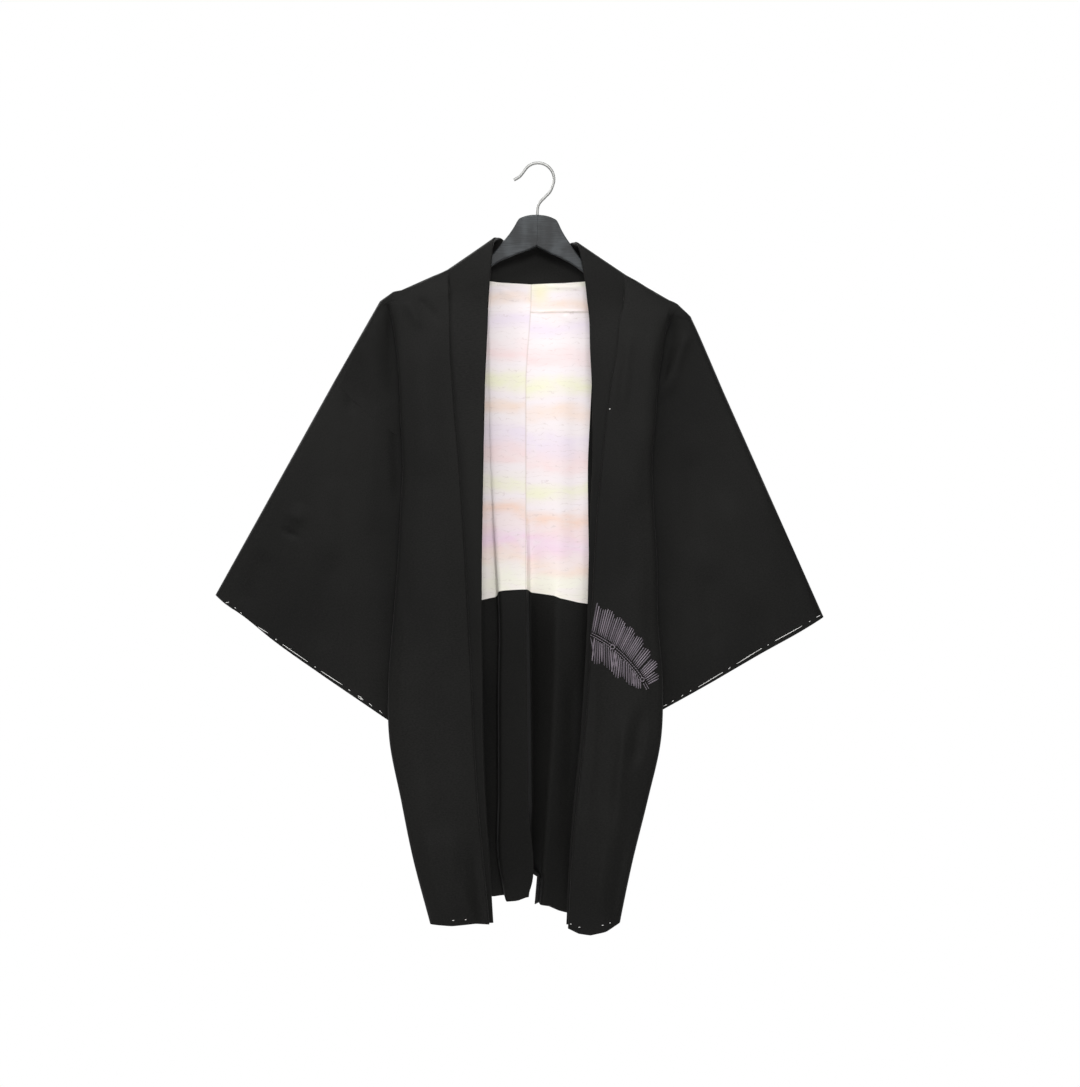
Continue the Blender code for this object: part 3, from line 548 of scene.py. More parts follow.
SLIT = {  # depth below the hook, how far the inner edge moves, how far back
    "left": (
        (840.0, 0.0, 0.0), (870.0, -5.0, 3.0), (926.0, -6.0, 3.0), (929.0, 6.0, 1.0),
        (968.0, -0.5, 0.0),
    ),
    "right": (
        (860.0, 0.0, 0.0), (900.0, 2.5, 0.0), (930.0, 4.3, 0.0), (944.0, 3.5, 0.0),
        (955.0, 0.9, 0.0), (968.0, 0.0, 0.0),
    ),
}
SLIT_REACH = 26.0  # width of cloth that moves with the edge
HEMS = {  # what each hem hangs below its last row, by x
    ("front", "right"): ((-140.0, 0.0), (-110.0, 1.5), (-80.0, -1.0), (-60.0, 1.0)),
    ("front", "left"): ((39.0, 3.8), (52.0, 9.7), (67.0, 11.6), (87.0, 7.1), (106.0, -4.4)),
    ("back", "right"): (
        (-140.0, -4.0), (-58.0, -4.0), (-44.0, -6.0), (-41.0, 0.0), (-27.0, -1.0), (-14.0, -6.0),
    ),
    ("back", "left"): ((-5.0, -2.8), (14.0, 0.0), (27.0, 6.0), (41.0, 10.0), (80.0, 6.0)),
}
HEM_ROW = 14.6  # row of the panels from which the hem's line shows
DROP_SHARES = (0.0, 0.012, 0.035, 0.07, 0.12, 0.34, 0.56, 0.78, 1.0)
DROP_MIDDLE = 0.55
DROP_HALF_DEPTH = 7.6
FOLD_EDGE = 0.35  # half the gap between the layers along the outer fold
# How finely the sheets are worked out
ARC_POINTS = 5  # points round each corner of a section
BETWEEN = 5  # points along each stretch between corners
CORNER_REACH = 0.33
SAME_PLACE = 0.02  # points of a closed sheet nearer than this are one
OUTER_PLAIN = 9
OUTER_ARC = 6
LAST_ROW = 16
PANEL_ROWS = np.concatenate((
    np.linspace(0, 3, 9, endpoint=False),
    np.linspace(3, 4, 6, endpoint=False),
    np.linspace(4, LAST_ROW, 109),
))

# Creases pressed or hung into body and sleeves: from (x, z) to (x, z), half width, height
CREASES = {
    ("front", "right"): (
        (-213, -196, -215, -310, 8, 2.8),
        (-192, -176, -187, -330, 7, -5.2),
        (-186, -310, -180, -450, 8, -3.4),
        (-232, -240, -243, -330, 8, -2.8),
        (-172, -176, -150, -215, 6, 2.4),
        (-158, -172, -128, -206, 5, -2.0),
        (-150, -215, -140, -420, 18, 3.2),
        (-172, -560, -178, -760, 9, 2.8),
        (-140, -640, -118, -900, 20, -3.2),
        (-116, -850, -104, -990, 13, 3.2),
        (-84, -880, -70, -990, 8, -3.2),
        (-144, -860, -126, -990, 10, 3.6),
        (-100, -930, -84, -970, 6, 3.2),
        (-236, -240, -246, -440, 16, -1.7),
        (-246, -390, -262, -570, 16, -1.8),
        (-214, -300, -224, -500, 14, 2.2),
        (-262, -400, -268, -520, 16, 1.6),
        (-306, -440, -316, -470, 10, 1.6),
        (-205, -520, -205, -700, 18, 2.4),
        (-268, -500, -285, -640, 18, -2.0),
        (-352, -500, -380, -580, 12, -2.0),
    ),
    ("front", "left"): (
        (196, -212, 160, -312, 6, 4.4),
        (176, -196, 158, -290, 10, -4.8),
        (148, -205, 140, -400, 14, 3.2),
        (120, -212, 106, -330, 7, 2.4),
        (128, -420, 124, -560, 17, -2.4),
        (78, -640, 62, -880, 8, -2.8),
        (112, -700, 96, -900, 8, 5.2),
        (134, -700, 124, -780, 7, -4.8),
        (92, -820, 74, -985, 9, 3.2),
        (112, -860, 92, -985, 8, -2.8),
        (196, -360, 214, -520, 20, -2.6),
        (240, -420, 285, -600, 18, 3.0),
        (170, -540, 172, -700, 14, 2.2),
        (220, -520, 232, -640, 14, -2.0),
        (300, -430, 345, -570, 12, -1.8),
    ),
    ("back", "right"): (
        (-14, -120, -17, -586, 7, 1.0),
        (-120, -200, -96, -420, 22, 3.6),
        (-150, -230, -128, -520, 14, -3.2),
        (-70, -240, -64, -560, 12, 2.0),
        (-100, -520, -108, -900, 20, 4.4),
        (-138, -560, -132, -880, 13, -4.4),
        (-74, -640, -72, -940, 12, 3.6),
        (-236, -290, -262, -480, 11, -3.2),
        (-214, -330, -224, -560, 14, 3.2),
        (-280, -360, -340, -560, 18, 2.6),
        (-245, -480, -255, -640, 16, -2.4),
    ),
    ("lining", "right"): (
        (-50, -158, -30, -176, 3, 1.0),
        (-20, -196, -26, -330, 4, 1.0),
    ),
    ("lining", "left"): (
        (-9, -190.5, 28, -188, 1.5, 0.7),
        (28, -188, 66, -189.5, 1.5, 0.8),
        (44, -204, 34, -192, 3, 1.1),
        (6, -156, 60, -158, 3, 1.2),
    ),
    ("back", "left"): (
        (100, -210, 78, -430, 22, 3.6),
        (132, -240, 112, -520, 13, -3.0),
        (50, -250, 48, -560, 12, 2.0),
        (82, -520, 84, -900, 20, 4.0),
        (116, -560, 106, -880, 13, -4.0),
        (46, -640, 42, -940, 12, 3.2),
        (208, -300, 230, -480, 11, -3.2),
        (186, -340, 190, -560, 14, 3.0),
        (246, -380, 300, -560, 18, 2.6),
        (210, -480, 216, -640, 16, -2.4),
    ),
}
CREST_LAP = 0.4  # how far front and back reach past the shoulder's crest
CREST_HALF = 0.5  # points this near the middle plane belong to the crest
CREASE_ENDS = 0.25  # share of a crease's length in which it fades out at each end
FLAT_FROM = 6.0  # from the middle plane, where creases reach their full height
LOOSENESS = 0.8  # height of the cloth's slow unevenness
LOOSE_LENGTH = (55.0, 160.0)
LOOSE_FRONT, LOOSE_BACK = 3.1, 7.7  # where the unevenness of each is taken from
RIB_PITCH = 1.1
WARP_PITCH = 0.9


def read_row(columns, table, z):
    """A table's values at height z, by column name."""
    rows = np.asarray(table, float)
    return dict(zip(columns, smooth(-rows[:, 0], rows, -z)))


def section_at(sections, row):
    return smooth(range(len(sections)), sections, row)


def eased(share):
    """A share that starts and ends gently."""
    return share**2 * (3.0 - 2.0 * share)


def key_column(key):
    """The column of a panel that runs down one of its corners."""
    return (ARC_POINTS + BETWEEN) * key - ARC_POINTS + 1 + ARC_POINTS // 2


def round_path(keys, radii, arc_points=ARC_POINTS, between=BETWEEN):
    """A path along keys with its corners rounded."""
    keys = [np.asarray(key, float) for key in keys]
    path = []
    for i, key in enumerate(keys):
        inner = 0 < i < len(keys) - 1
        start = end = key
        if inner:
            back, ahead = keys[i - 1] - key, keys[i + 1] - key
            start = key + back * min(radii[i] / np.linalg.norm(back), CORNER_REACH)
            end = key + ahead * min(radii[i] / np.linalg.norm(ahead), CORNER_REACH)
        if i:
            path += [mix(leave, start, (k + 1) / (between + 1)) for k in range(between)]
        for k in range(arc_points if inner else 1):
            u = k / (arc_points - 1)
            path.append((1 - u)**2 * start + 2 * u * (1 - u) * key + u**2 * end)
        leave = end
    return path


def ridge_height(side, x):
    """Height of the shoulder's crest over x."""
    corner = SIDES[side]
    crest = (corner["neck_point"],) + corner["shoulder"] + (corner["tip"],)
    return float(smooth([abs(p[0]) for p in crest], [p[1] for p in crest], abs(x)))


def drop_line(side, share):
    """The fold from the shoulder's tip down to the top of the armhole, as (x, z)."""
    corners = [SIDES[side][name] for name in ("tip", "drop", "armhole_top")]
    return smooth((0.0, DROP_MIDDLE, 1.0), corners, share)


def fold_start(length):
    return 1.0 - min(SLEEVE_FOLD_ROUND / length, 0.5)


def fold_half(length, half_depth, share):
    """Half depth of a flat double layer at a share of its length, rounded at its end."""
    start = fold_start(length)
    turn = max(0.0, share - start) / (1.0 - start)
    return FOLD_EDGE + (half_depth - FOLD_EDGE) * math.sqrt(max(0.0, 1.0 - turn * turn))


def fold_shares(length):
    """Shares along a flat double layer: its plain stretch, then round its end."""
    start = fold_start(length)
    plain = [start * (k + 1) / OUTER_PLAIN for k in range(OUTER_PLAIN)]
    turns = [math.sin(math.pi / 2 * (k + 1) / OUTER_ARC) for k in range(OUTER_ARC)]
    return plain + [mix(start, 1.0, turn) for turn in turns]


def outer_points(side, tuck, row, facing):
    """The panel from its tuck out to the shoulder's drop."""
    rolls = [behind for behind, _ in SHOULDER_ROLL]
    half_depth = min(float(np.interp(row, range(len(rolls)), rolls)), SLEEVE_HALF_DEPTH)
    share = float(np.interp(row, range(len(DROP_SHARES)), DROP_SHARES))
    x, z = drop_line(side, share)
    fall = np.array((x - tuck[0], 0.0, z - tuck[2]))
    length = float(np.linalg.norm(fall))
    points = []
    for along in fold_shares(length):
        point = tuck + fall * along
        point[2] -= ARMHOLE_SAG * math.sin(math.pi * along) * share**2
        half = mix(abs(tuck[1]), max(half_depth, FOLD_EDGE), along)
        point[1] = facing * fold_half(length, half, along)
        points.append(point)
    return points


def outer_keys(side, fold, tuck, outer, inner, tuck_depth, level):
    """x and distance from the hanger's plane of the last four keys of a section."""
    sign = SIDES[side]["sign"]
    slant = TUCK_SLANT * sign * max(0.0, sign * (tuck - fold))
    last = UNDERARM_ROW - FIRST_LEVEL
    back = tuck_depth - TUCK_TURN
    if level <= last:
        back = mix(DROP_HALF_DEPTH, UNDERARM_HALF_DEPTH, level / last)
    return [(fold, outer), (fold + slant, inner), (tuck - slant, tuck_depth), (tuck, back)]


def front_level(side, z, level):
    sign = SIDES[side]["sign"]
    across = read_row(FRONT_COLUMNS, FRONT_LEVELS[side], z)
    depth = read_row(FRONT_DEPTH_COLUMNS, FRONT_DEPTHS, z)
    groove, fold, face, crown = across["groove"], across["fold"], depth["face"], depth["crown"]
    keys = [
        (across["opening"] + sign * COLLAR_WIDTH, face - depth["pleat"]),
        (groove, face - depth["pleat"]),
        (groove, face),
    ]
    keys += [(mix(groove, fold, share), face + part * crown) for share, part in FRONT_CROWN]
    keys += outer_keys(side, fold, across["tuck"], face, depth["inner"], depth["tuck"], level)
    return [(x, -y, z) for x, y in keys]


def shoulder_x(side):
    sign, tip = SIDES[side]["sign"], SIDES[side]["tip"][0]
    return [tip - sign * inset for inset in SHOULDER_INSETS]


def hook_row(sections, out):
    """The section between the last of the shoulder's roll and the first level, moved out."""
    row = mix(np.array(sections[HOOK_ROW - 1]), np.array(sections[HOOK_ROW]), 0.5)
    row[:, 1] += out
    return row


def front_sections(side):
    """Sections of a front from the shoulder's crest to the hem, each a list of keys."""
    sign, neck = SIDES[side]["sign"], SIDES[side]["neck_point"][0]
    outer = shoulder_x(side)
    crest = [neck] + [neck + sign * out for out in CREST_PLEAT]
    crest += [mix(neck, outer[0], share) for share, _ in FRONT_CROWN] + outer
    sections = []
    for behind, drop in SHOULDER_ROLL:
        sections.append([(x, -behind, ridge_height(side, x) - drop) for x in crest])
    for level, row in enumerate(FRONT_LEVELS[side]):
        sections.append(front_level(side, row[0], level))
    hook = hook_row(sections, -HOOK_OUT)
    height = hook[2][2]
    for i, (out, y) in enumerate(HOOK_PLEAT):
        hook[i] = (neck + sign * out, y, height)
    sections.insert(HOOK_ROW, hook.tolist())
    return np.array(sections)


def back_level(side, z, level):
    sign = SIDES[side]["sign"]
    across = read_row(BACK_COLUMNS, BACK_LEVELS[side], z)
    depth = read_row(BACK_DEPTH_COLUMNS, BACK_DEPTHS, z)
    centre, crease, fold = across["centre"], across["crease"], across["fold"]
    face, outer, ripple = depth["centre"], depth["outer"], depth["ripple"]
    keys = [(centre, face - RIPPLE_SEAM * ripple)]
    if side == "right":
        keys += [(crease, face - ripple), (crease + sign * RECESS_SIDE, face + depth["recess"])]
    else:
        keys += [(centre + RIPPLE_SIDE, face + RIPPLE_DEEP * ripple), (crease, face - ripple)]
    for share, extra, ripples in BACK_CROWN[side]:
        keys.append((mix(crease, fold, share), mix(face, outer, share) + extra + ripples * ripple))
    keys += outer_keys(side, fold, across["tuck"], outer, depth["inner"], depth["tuck"], level)
    return [(x, y, z) for x, y in keys]


def neck_edge(side, share):
    """The neck edge of the back from its centre (0) to the neck point (1)."""
    neck_x, neck_z = SIDES[side]["neck_point"]
    rows = NECK_EDGE + ((1.0, 1.0, SHOULDER_ROLL[0][0]),)
    rise, behind = smooth([row[0] for row in rows], [row[1:] for row in rows], share)
    return np.array((mix(NECK_CENTRE[0], neck_x, share), behind, mix(NECK_CENTRE[1], neck_z, rise)))


def back_sections(side):
    """Sections of a back from the neck edge and shoulder's crest to the hem."""
    crest = [SIDES[side]["neck_point"][0]] + shoulder_x(side)
    sections = []
    for (behind, drop), fall in zip(SHOULDER_ROLL, NECK_FALL):
        keys = [neck_edge(side, row[0]) - np.array((0.0, 0.0, fall)) for row in NECK_EDGE]
        keys += [np.array((x, behind, ridge_height(side, x) - drop)) for x in crest]
        sections.append(keys)
    for level, row in enumerate(BACK_LEVELS[side]):
        sections.append(back_level(side, row[0], level))
    sections.insert(HOOK_ROW, hook_row(sections, HOOK_OUT).tolist())
    return np.array(sections, float)


def panel_points(side, sections, radii, facing):
    """A panel's points, row by row; below the underarm the outer columns repeat."""
    rows = []
    for row in PANEL_ROWS:
        path = round_path(section_at(sections, row), radii)
        if row <= UNDERARM_ROW:
            outer = outer_points(side, path[-1], row, facing)
        rows.append(path + outer)
    return np.array(rows)


def hemmed(points, hem):
    """The sheet let down or drawn up to its hem's own line."""
    share = np.clip((PANEL_ROWS - HEM_ROW) / (PANEL_ROWS[-1] - HEM_ROW), 0.0, 1.0)[:, None]
    points = points.copy()
    points[..., 2] -= np.interp(points[..., 0], *zip(*hem)) * eased(share)
    return points


def slit(points, side):
    """The backs' inner edges below the centre seam: the left behind the right, then clear of it."""
    depths, moves, behind = zip(*SLIT[side])
    share = np.clip(1.0 - np.abs(points[..., 0] - points[:, :1, 0]) / SLIT_REACH, 0.0, 1.0)**2
    points = points.copy()
    down = -points[..., 2]
    points[..., 0] += np.interp(down, depths, moves) * share
    points[..., 1] += np.interp(down, depths, behind) * share
    return points


def outward(points, facing):
    """Unit normals of a sheet of points, turned so that its first third faces front or back."""
    down, across = np.gradient(points, axis=0), np.gradient(points, axis=1)
    normals = np.cross(across, down)
    normals /= np.maximum(np.linalg.norm(normals, axis=2, keepdims=True), 1e-9)
    return normals * math.copysign(1.0, normals[:, :points.shape[1] // 3, 1].sum() * facing)


def creased(points, side, half):
    """The sheet with its creases and slow unevenness, fading out at the side folds."""
    x, z = points[..., 0], points[..., 2]
    height = np.zeros_like(x)
    for x0, z0, x1, z1, width, rise in CREASES[half, side]:
        along = np.array((x1 - x0, z1 - z0), float)
        length = np.linalg.norm(along)
        along /= length
        share = ((x - x0) * along[0] + (z - z0) * along[1]) / length
        off = (x - x0) * along[1] - (z - z0) * along[0]
        fade = np.clip(np.minimum(share, 1.0 - share) / CREASE_ENDS, 0.0, 1.0)
        height += rise * np.exp(-(off / width)**2) * eased(fade)
    seed = LOOSE_FRONT if half == "front" else LOOSE_BACK
    slow = [noise.noise(Vector((a / LOOSE_LENGTH[0], b / LOOSE_LENGTH[1], seed)))
            for a, b in zip(x.ravel(), z.ravel())]
    height += LOOSENESS * np.array(slow).reshape(x.shape)
    points = points.copy()
    facing = 1.0 if half == "back" else -1.0
    points[..., 1] += facing * height * np.clip(np.abs(points[..., 1]) / FLAT_FROM, 0.0, 1.0)
    return points


def cloth_mesh(name, points, keep=None, closed=False):
    """A grid laid through rows of points, with its lengths across and down as a UV map.

    keep(row, column) says which faces stay; closed joins the last column to the first.
    """
    rows, columns = points.shape[:2]
    shape = bmesh.new()
    lie = shape.loops.layers.uv.new("weave")
    bmesh.ops.create_grid(shape, x_segments=columns - 1, y_segments=rows - 1, size=0.5)
    across = np.linalg.norm(np.diff(points, axis=1), axis=2).mean(axis=0).cumsum() * MM
    down = np.linalg.norm(np.diff(points, axis=0), axis=2).mean(axis=1).cumsum() * MM
    across, down = np.append(0.0, across), np.append(0.0, down)
    place = {}
    for v in shape.verts:
        column = round((v.co.x + 0.5) * (columns - 1))
        row = round((0.5 - v.co.y) * (rows - 1))
        place[v] = (row, column)
        v.co = Vector(points[row, column]) * MM
    spare = []
    for face in shape.faces:
        for loop in face.loops:
            row, column = place[loop.vert]
            loop[lie].uv = (across[column], -down[row])
        corner = [place[v] for v in face.verts]
        if keep and not keep(min(r for r, _ in corner), max(k for _, k in corner)):
            spare.append(face)
    bmesh.ops.delete(shape, geom=spare, context="FACES")
    if closed:
        bmesh.ops.remove_doubles(shape, verts=shape.verts, dist=SAME_PLACE * MM)
    bmesh.ops.recalc_face_normals(shape, faces=shape.faces)
    mesh = bpy.data.meshes.new(name)
    shape.to_mesh(mesh)
    shape.free()
    mesh.shade_smooth()
    return mesh


EDGE_ROUND = 0.3
EDGE_ANGLE = math.radians(62)


def thicken(piece, wall=WALL, even=True):
    """Gives a sheet its thickness, half to each side; even keeps it full on slopes."""
    layer = piece.modifiers.new("wall", "SOLIDIFY")
    layer.thickness = wall * MM
    layer.offset = 0.0
    layer.use_even_offset = even
    edges = piece.modifiers.new("edges", "BEVEL")
    edges.limit_method = "ANGLE"
    edges.angle_limit = EDGE_ANGLE
    edges.width = EDGE_ROUND * MM
    edges.segments = 2
    edges.harden_normals = True


# Black crepe: fine crosswise ribs of twisted thread, a soft uneven sheen, no gloss
black_crepe = Finish("black_crepe", Specular_IOR_Level=0.15, Sheen_Weight=0.04, Sheen_Roughness=0.4)
weave = black_crepe.place("weave", (1.0, 1.0, 1.0))
u, v, _ = black_crepe.parts(weave)
thread_wander = black_crepe.grain(weave, 900.0)
ribs = (v.lines(RIB_PITCH) + thread_wander * 5.0).wave()
warp = (u.lines(WARP_PITCH) + thread_wander * 4.0).wave()
speckle = black_crepe.clouds((420.0, 700.0, 1.0), 3.0, uv="weave")
cloudy = black_crepe.clouds((7.0, 7.0, 4.0), 3.0)
black_crepe.wear("Base Color", black_crepe.tint(
    (0.6 * speckle + 0.4 * cloudy).between(0.34, 0.66),
    (0.0030, 0.0029, 0.0026), (0.0088, 0.0086, 0.0078)))
black_crepe.wear("Roughness", 0.6 + 0.14 * speckle)
black_crepe.relief(0.5 * ribs + 0.25 * warp + 1.2 * thread_wander, 0.10, 0.7)


def crepe_piece(node, points, **grid):
    """A sheet of the black crepe that stands for one node."""
    mesh = cloth_mesh(node + "_silk", points, **grid)
    piece = show(mesh.name, mesh, black_crepe, (node,))
    thicken(piece)
    return piece


def panel_cloth(row, column):
    """Which faces of a panel's grid are cloth: below the underarm it ends at its tuck."""
    return PANEL_ROWS[row] < UNDERARM_ROW or column <= key_column(TUCK_KEY)


panels = {}
for side in SIDES:
    halves = {
        "front": (panel_points(side, front_sections(side), FRONT_RADII, -1.0), CREST_LAP),
        "back": (slit(panel_points(side, back_sections(side), BACK_RADII, 1.0), side), -CREST_LAP),
    }
    for half, (points, lap) in halves.items():
        points = creased(hemmed(points, HEMS[half, side]), side, half)
        points[..., 1] += lap * (np.abs(points[..., 1]) < CREST_HALF)
        panel = crepe_piece(f"{half}_{side}", points, keep=panel_cloth)
        panels[half, side] = panel
        (half, side) != ("front", "left")


# ---------------------------------------------------------------- sleeves
# Each sleeve is one length of doubled crepe folded over at the top, sewn to the body along
# the armhole and closed along its lower edge; it hangs flat, front against back.
SLEEVE_RINGS = 90
SLEEVE_ACROSS = 34
SLEEVE_ARC = 8  # steps round the top and the lower fold
SLEEVE_END = 0.975  # the lower fold stops just short of the underarm corner
SEAM_UNDER = 0.15  # how far the sleeve's edge reaches into the panel's
SLEEVE_APART = 0.15  # least share of its depth that each leaf keeps
CUFF_BOW = {  # share of the way down the cuff, distance
    "right": (
        (0.0, -2.4), (0.06, -0.6), (0.11, -1.2), (0.28, 2.4), (0.5, 2.8), (0.7, 2.0), (0.82, 1.4),
        (1.0, 0.0),
    ),
    "left": ((0.0, -0.6), (0.1, 0.6), (0.3, 0.2), (0.55, 1.0), (0.8, 0.4), (1.0, 0.0)),
}
SLEEVE_DENTS = {  # (x, z), half width, depth
    "right": ((-321.0, -479.0, 6.0, 6.5), (-312.0, -458.0, 9.0, -3.0)),
    "left": (),
}
DENT_SHORT = 1.6  # how much shorter than wide a dent is


def armhole_seam(side, share):
    """Point on the armhole seam, from the top fold (0) to the underarm (1)."""
    corner = SIDES[side]
    x, z = mix(np.array(corner["armhole_top"]), np.array(corner["underarm"]), share)
    return np.array((x, 0.0, z - ARMHOLE_SAG * math.sin(math.pi * share)))


def round_share(share):
    share = min(1.0, max(0.0, share))
    return math.sqrt(1.0 - (1.0 - share)**2)


def cuff_bow(side, share):
    """How far the cuff stands out from a straight line."""
    return float(smooth(*zip(*CUFF_BOW[side]), share))


def sleeve_points(side):
    """Rings of points from the armhole to the cuff, front then back."""
    ends = SIDES[side]["cuff_top"], SIDES[side]["cuff_bottom"]
    cuff_top, cuff_bottom = (np.array((x, 0.0, z)) for x, z in ends)
    start = armhole_seam(side, 0.0)
    along = (cuff_top - start) / np.linalg.norm(cuff_top - start)
    fold = SLEEVE_FOLD_ROUND / float(np.linalg.norm(armhole_seam(side, 1.0) - start))
    turns = [1.0 - math.cos(math.pi / 2 * k / SLEEVE_ARC) for k in range(SLEEVE_ARC + 1)]
    shares = [fold * turn for turn in turns]
    shares += list(np.linspace(fold, SLEEVE_END - fold, SLEEVE_ACROSS + 1)[1:-1])
    shares += [SLEEVE_END - fold * turn for turn in reversed(turns)]
    rings, depths = [], []
    for share in shares:
        seam = armhole_seam(side, share) - along * SEAM_UNDER
        cuff = mix(cuff_top, cuff_bottom, share) + along * cuff_bow(side, share)
        rings.append([mix(seam, cuff, i / SLEEVE_RINGS) for i in range(SLEEVE_RINGS + 1)])
        depth = mix(SLEEVE_HALF_DEPTH, UNDERARM_HALF_DEPTH, share)
        depth *= round_share(share / fold) * round_share((SLEEVE_END - share) / fold)
        depths.append((0.0, depth, 0.0))
    middle = np.array(rings).transpose(1, 0, 2)
    front, back = middle - np.array(depths), middle + np.array(depths)
    apart_front, apart_back = front[..., 1] * SLEEVE_APART, back[..., 1] * SLEEVE_APART
    front, back = creased(front, side, "front"), creased(back, side, "back")
    for x, z, width, deep in SLEEVE_DENTS[side]:
        off = ((front[..., 0] - x) / width)**2 + ((front[..., 2] - z) / width * DENT_SHORT)**2
        front[..., 1] += deep * np.exp(-off)
    front[..., 1] = np.minimum(front[..., 1], apart_front)
    back[..., 1] = np.maximum(back[..., 1], apart_back)
    return np.concatenate((front, back[:, -2:0:-1], front[:, :1]), axis=1)


for side in SIDES:
    panels["sleeve", side] = crepe_piece(f"sleeve_{side}", sleeve_points(side), closed=True)


# ---------------------------------------------------------------- side gussets
# A long narrow strip of the same crepe is sewn in between front and back under each sleeve,
# from the underarm to the hem. Hanging, it is drawn in between the two folds.
GUSSET_FIRST_ROW = 8.0
GUSSET_ROWS = 120
GUSSET_STEPS = 14
GUSSET_LAP = (0.0, 1.0, 0.0)
GUSSET_INSET = 1.5
GUSSET_BULGE = 5.0

for side in SIDES:
    fronts, backs = front_sections(side), back_sections(side)
    rows = []
    for row in np.linspace(GUSSET_FIRST_ROW, LAST_ROW, GUSSET_ROWS):
        fore, aft = section_at(fronts, row)[TUCK_KEY], section_at(backs, row)[TUCK_KEY]
        points = []
        for k in range(GUSSET_STEPS + 1):
            share = k / GUSSET_STEPS
            point = mix(fore - GUSSET_LAP, aft + GUSSET_LAP, share)
            inset = GUSSET_INSET + GUSSET_BULGE * math.sin(math.pi * share)**2
            point[0] -= SIDES[side]["sign"] * inset
            points.append(point)
        rows.append(points)
    gusset = crepe_piece(f"gusset_{side}", np.array(rows))


# ---------------------------------------------------------------- collar
# One long straight strip of crepe folded double lengthwise, sewn round the neck and down
# both front edges to the hem. It stands up behind the neck and folds flat down the fronts.
COLLAR_GAP = 3.6  # between the middles of its two leaves
COLLAR_BACK = {  # share of the neck edge, fold's x, y, z, then the leaves' edges
    "right": (
        (0.00, -14.0, 27.0, -104.0, -6.0, 2.1, -2.0, -2.0),
        (0.35, -36.0, 23.0, -103.0, -6.0, 2.4, -2.0, -2.4),
        (0.58, -48.0, 16.0, -95.0, -4.0, 2.0, -1.0, -2.6),
        (0.76, -53.0, 8.5, -95.0, -3.0, 1.4, 3.0, -2.8),
        (0.90, -53.4, 4.0, -95.6, -2.0, 0.5, 4.0, -2.8),
    ),
    "left": (
        (0.00, -14.0, 27.0, -104.0, -6.0, 2.1, -2.0, -2.0),
        (0.35, 16.0, 24.0, -104.5, -6.0, 2.4, -2.0, -2.4),
        (0.58, 36.0, 17.0, -103.0, -4.0, 2.0, -1.0, -2.6),
        (0.76, 44.0, 9.0, -101.4, -3.0, 1.4, 3.0, -2.8),
        (0.90, 47.0, 4.0, -102.0, -2.0, 0.5, 4.0, -2.8),
    ),
}
COLLAR_FRONT = {  # row of the front, then the same
    "right": (
        (0.0, -54.2, 0.0, -96.2, -1.6, -0.3, 5.0, -2.8),
        (1.0, -56.0, -5.5, -98.0, -1.6, -0.8, 5.0, -2.8),
        (2.0, -58.5, -10.0, -106.0, -1.6, -1.2, 5.0, -2.8),
        (3.0, -61.5, -12.0, -138.0, -0.8, -1.5, 5.0, -3.4),
        (3.5, -63.5, -10.5, -162.0, -0.2, -2.2, 5.0, -5.0),
    ),
    "left": (
        (0.0, 48.0, 0.0, -102.0, -1.6, -0.3, 5.0, -2.8),
        (1.0, 51.0, -5.5, -104.5, -1.6, -0.8, 5.0, -2.8),
        (2.0, 54.0, -10.0, -112.0, -1.6, -1.2, 5.0, -2.8),
        (3.0, 61.0, -12.0, -150.0, -0.8, -1.5, 5.0, -3.4),
        (3.5, 64.0, -11.0, -176.0, -0.2, -2.2, 5.0, -5.0),
    ),
}
FRONT_LEAVES = (0.3, -1.9, 6.0, -5.5)
LEAF_BEHIND = 1.9
BEND_INSET = (3.0, 11.0)  # from the groove to the leaf's full height, at the top and hem
BEND_SPAN = (200.0, 900.0)  # depths below the hook between which that changes
BEND_MIN = 5.0
COLLAR_RADII = (0, 0.6, 1.7, 1.7, 0)
COLLAR_ARC = 5
COLLAR_BETWEEN = 7
COLLAR_ROWS = 9  # rows between two stations


def collar_stations(side):
    """Stations from the back's centre to the front hem: seam, fold, leaf edges, groove."""
    fronts = front_sections(side)
    stations = []
    for share, x, y, z, *leaves in COLLAR_BACK[side]:
        stations.append((neck_edge(side, share), np.array((x, y, z)), leaves, None))
    for row, x, y, z, *leaves in COLLAR_FRONT[side]:
        stations.append((section_at(fronts, row)[0], np.array((x, y, z)), leaves, None))
    behind = LEAF_BEHIND + COLLAR_GAP / 2
    for seam, groove in fronts[FIRST_LEVEL:, :2]:
        opening = read_row(FRONT_COLUMNS, FRONT_LEVELS[side], seam[2])["opening"]
        fold = np.array((opening, seam[1] + behind, seam[2]))
        inset = float(np.interp(-seam[2], BEND_SPAN, BEND_INSET))
        stations.append((seam, fold, FRONT_LEAVES, abs(groove[0]) - inset))
    return stations


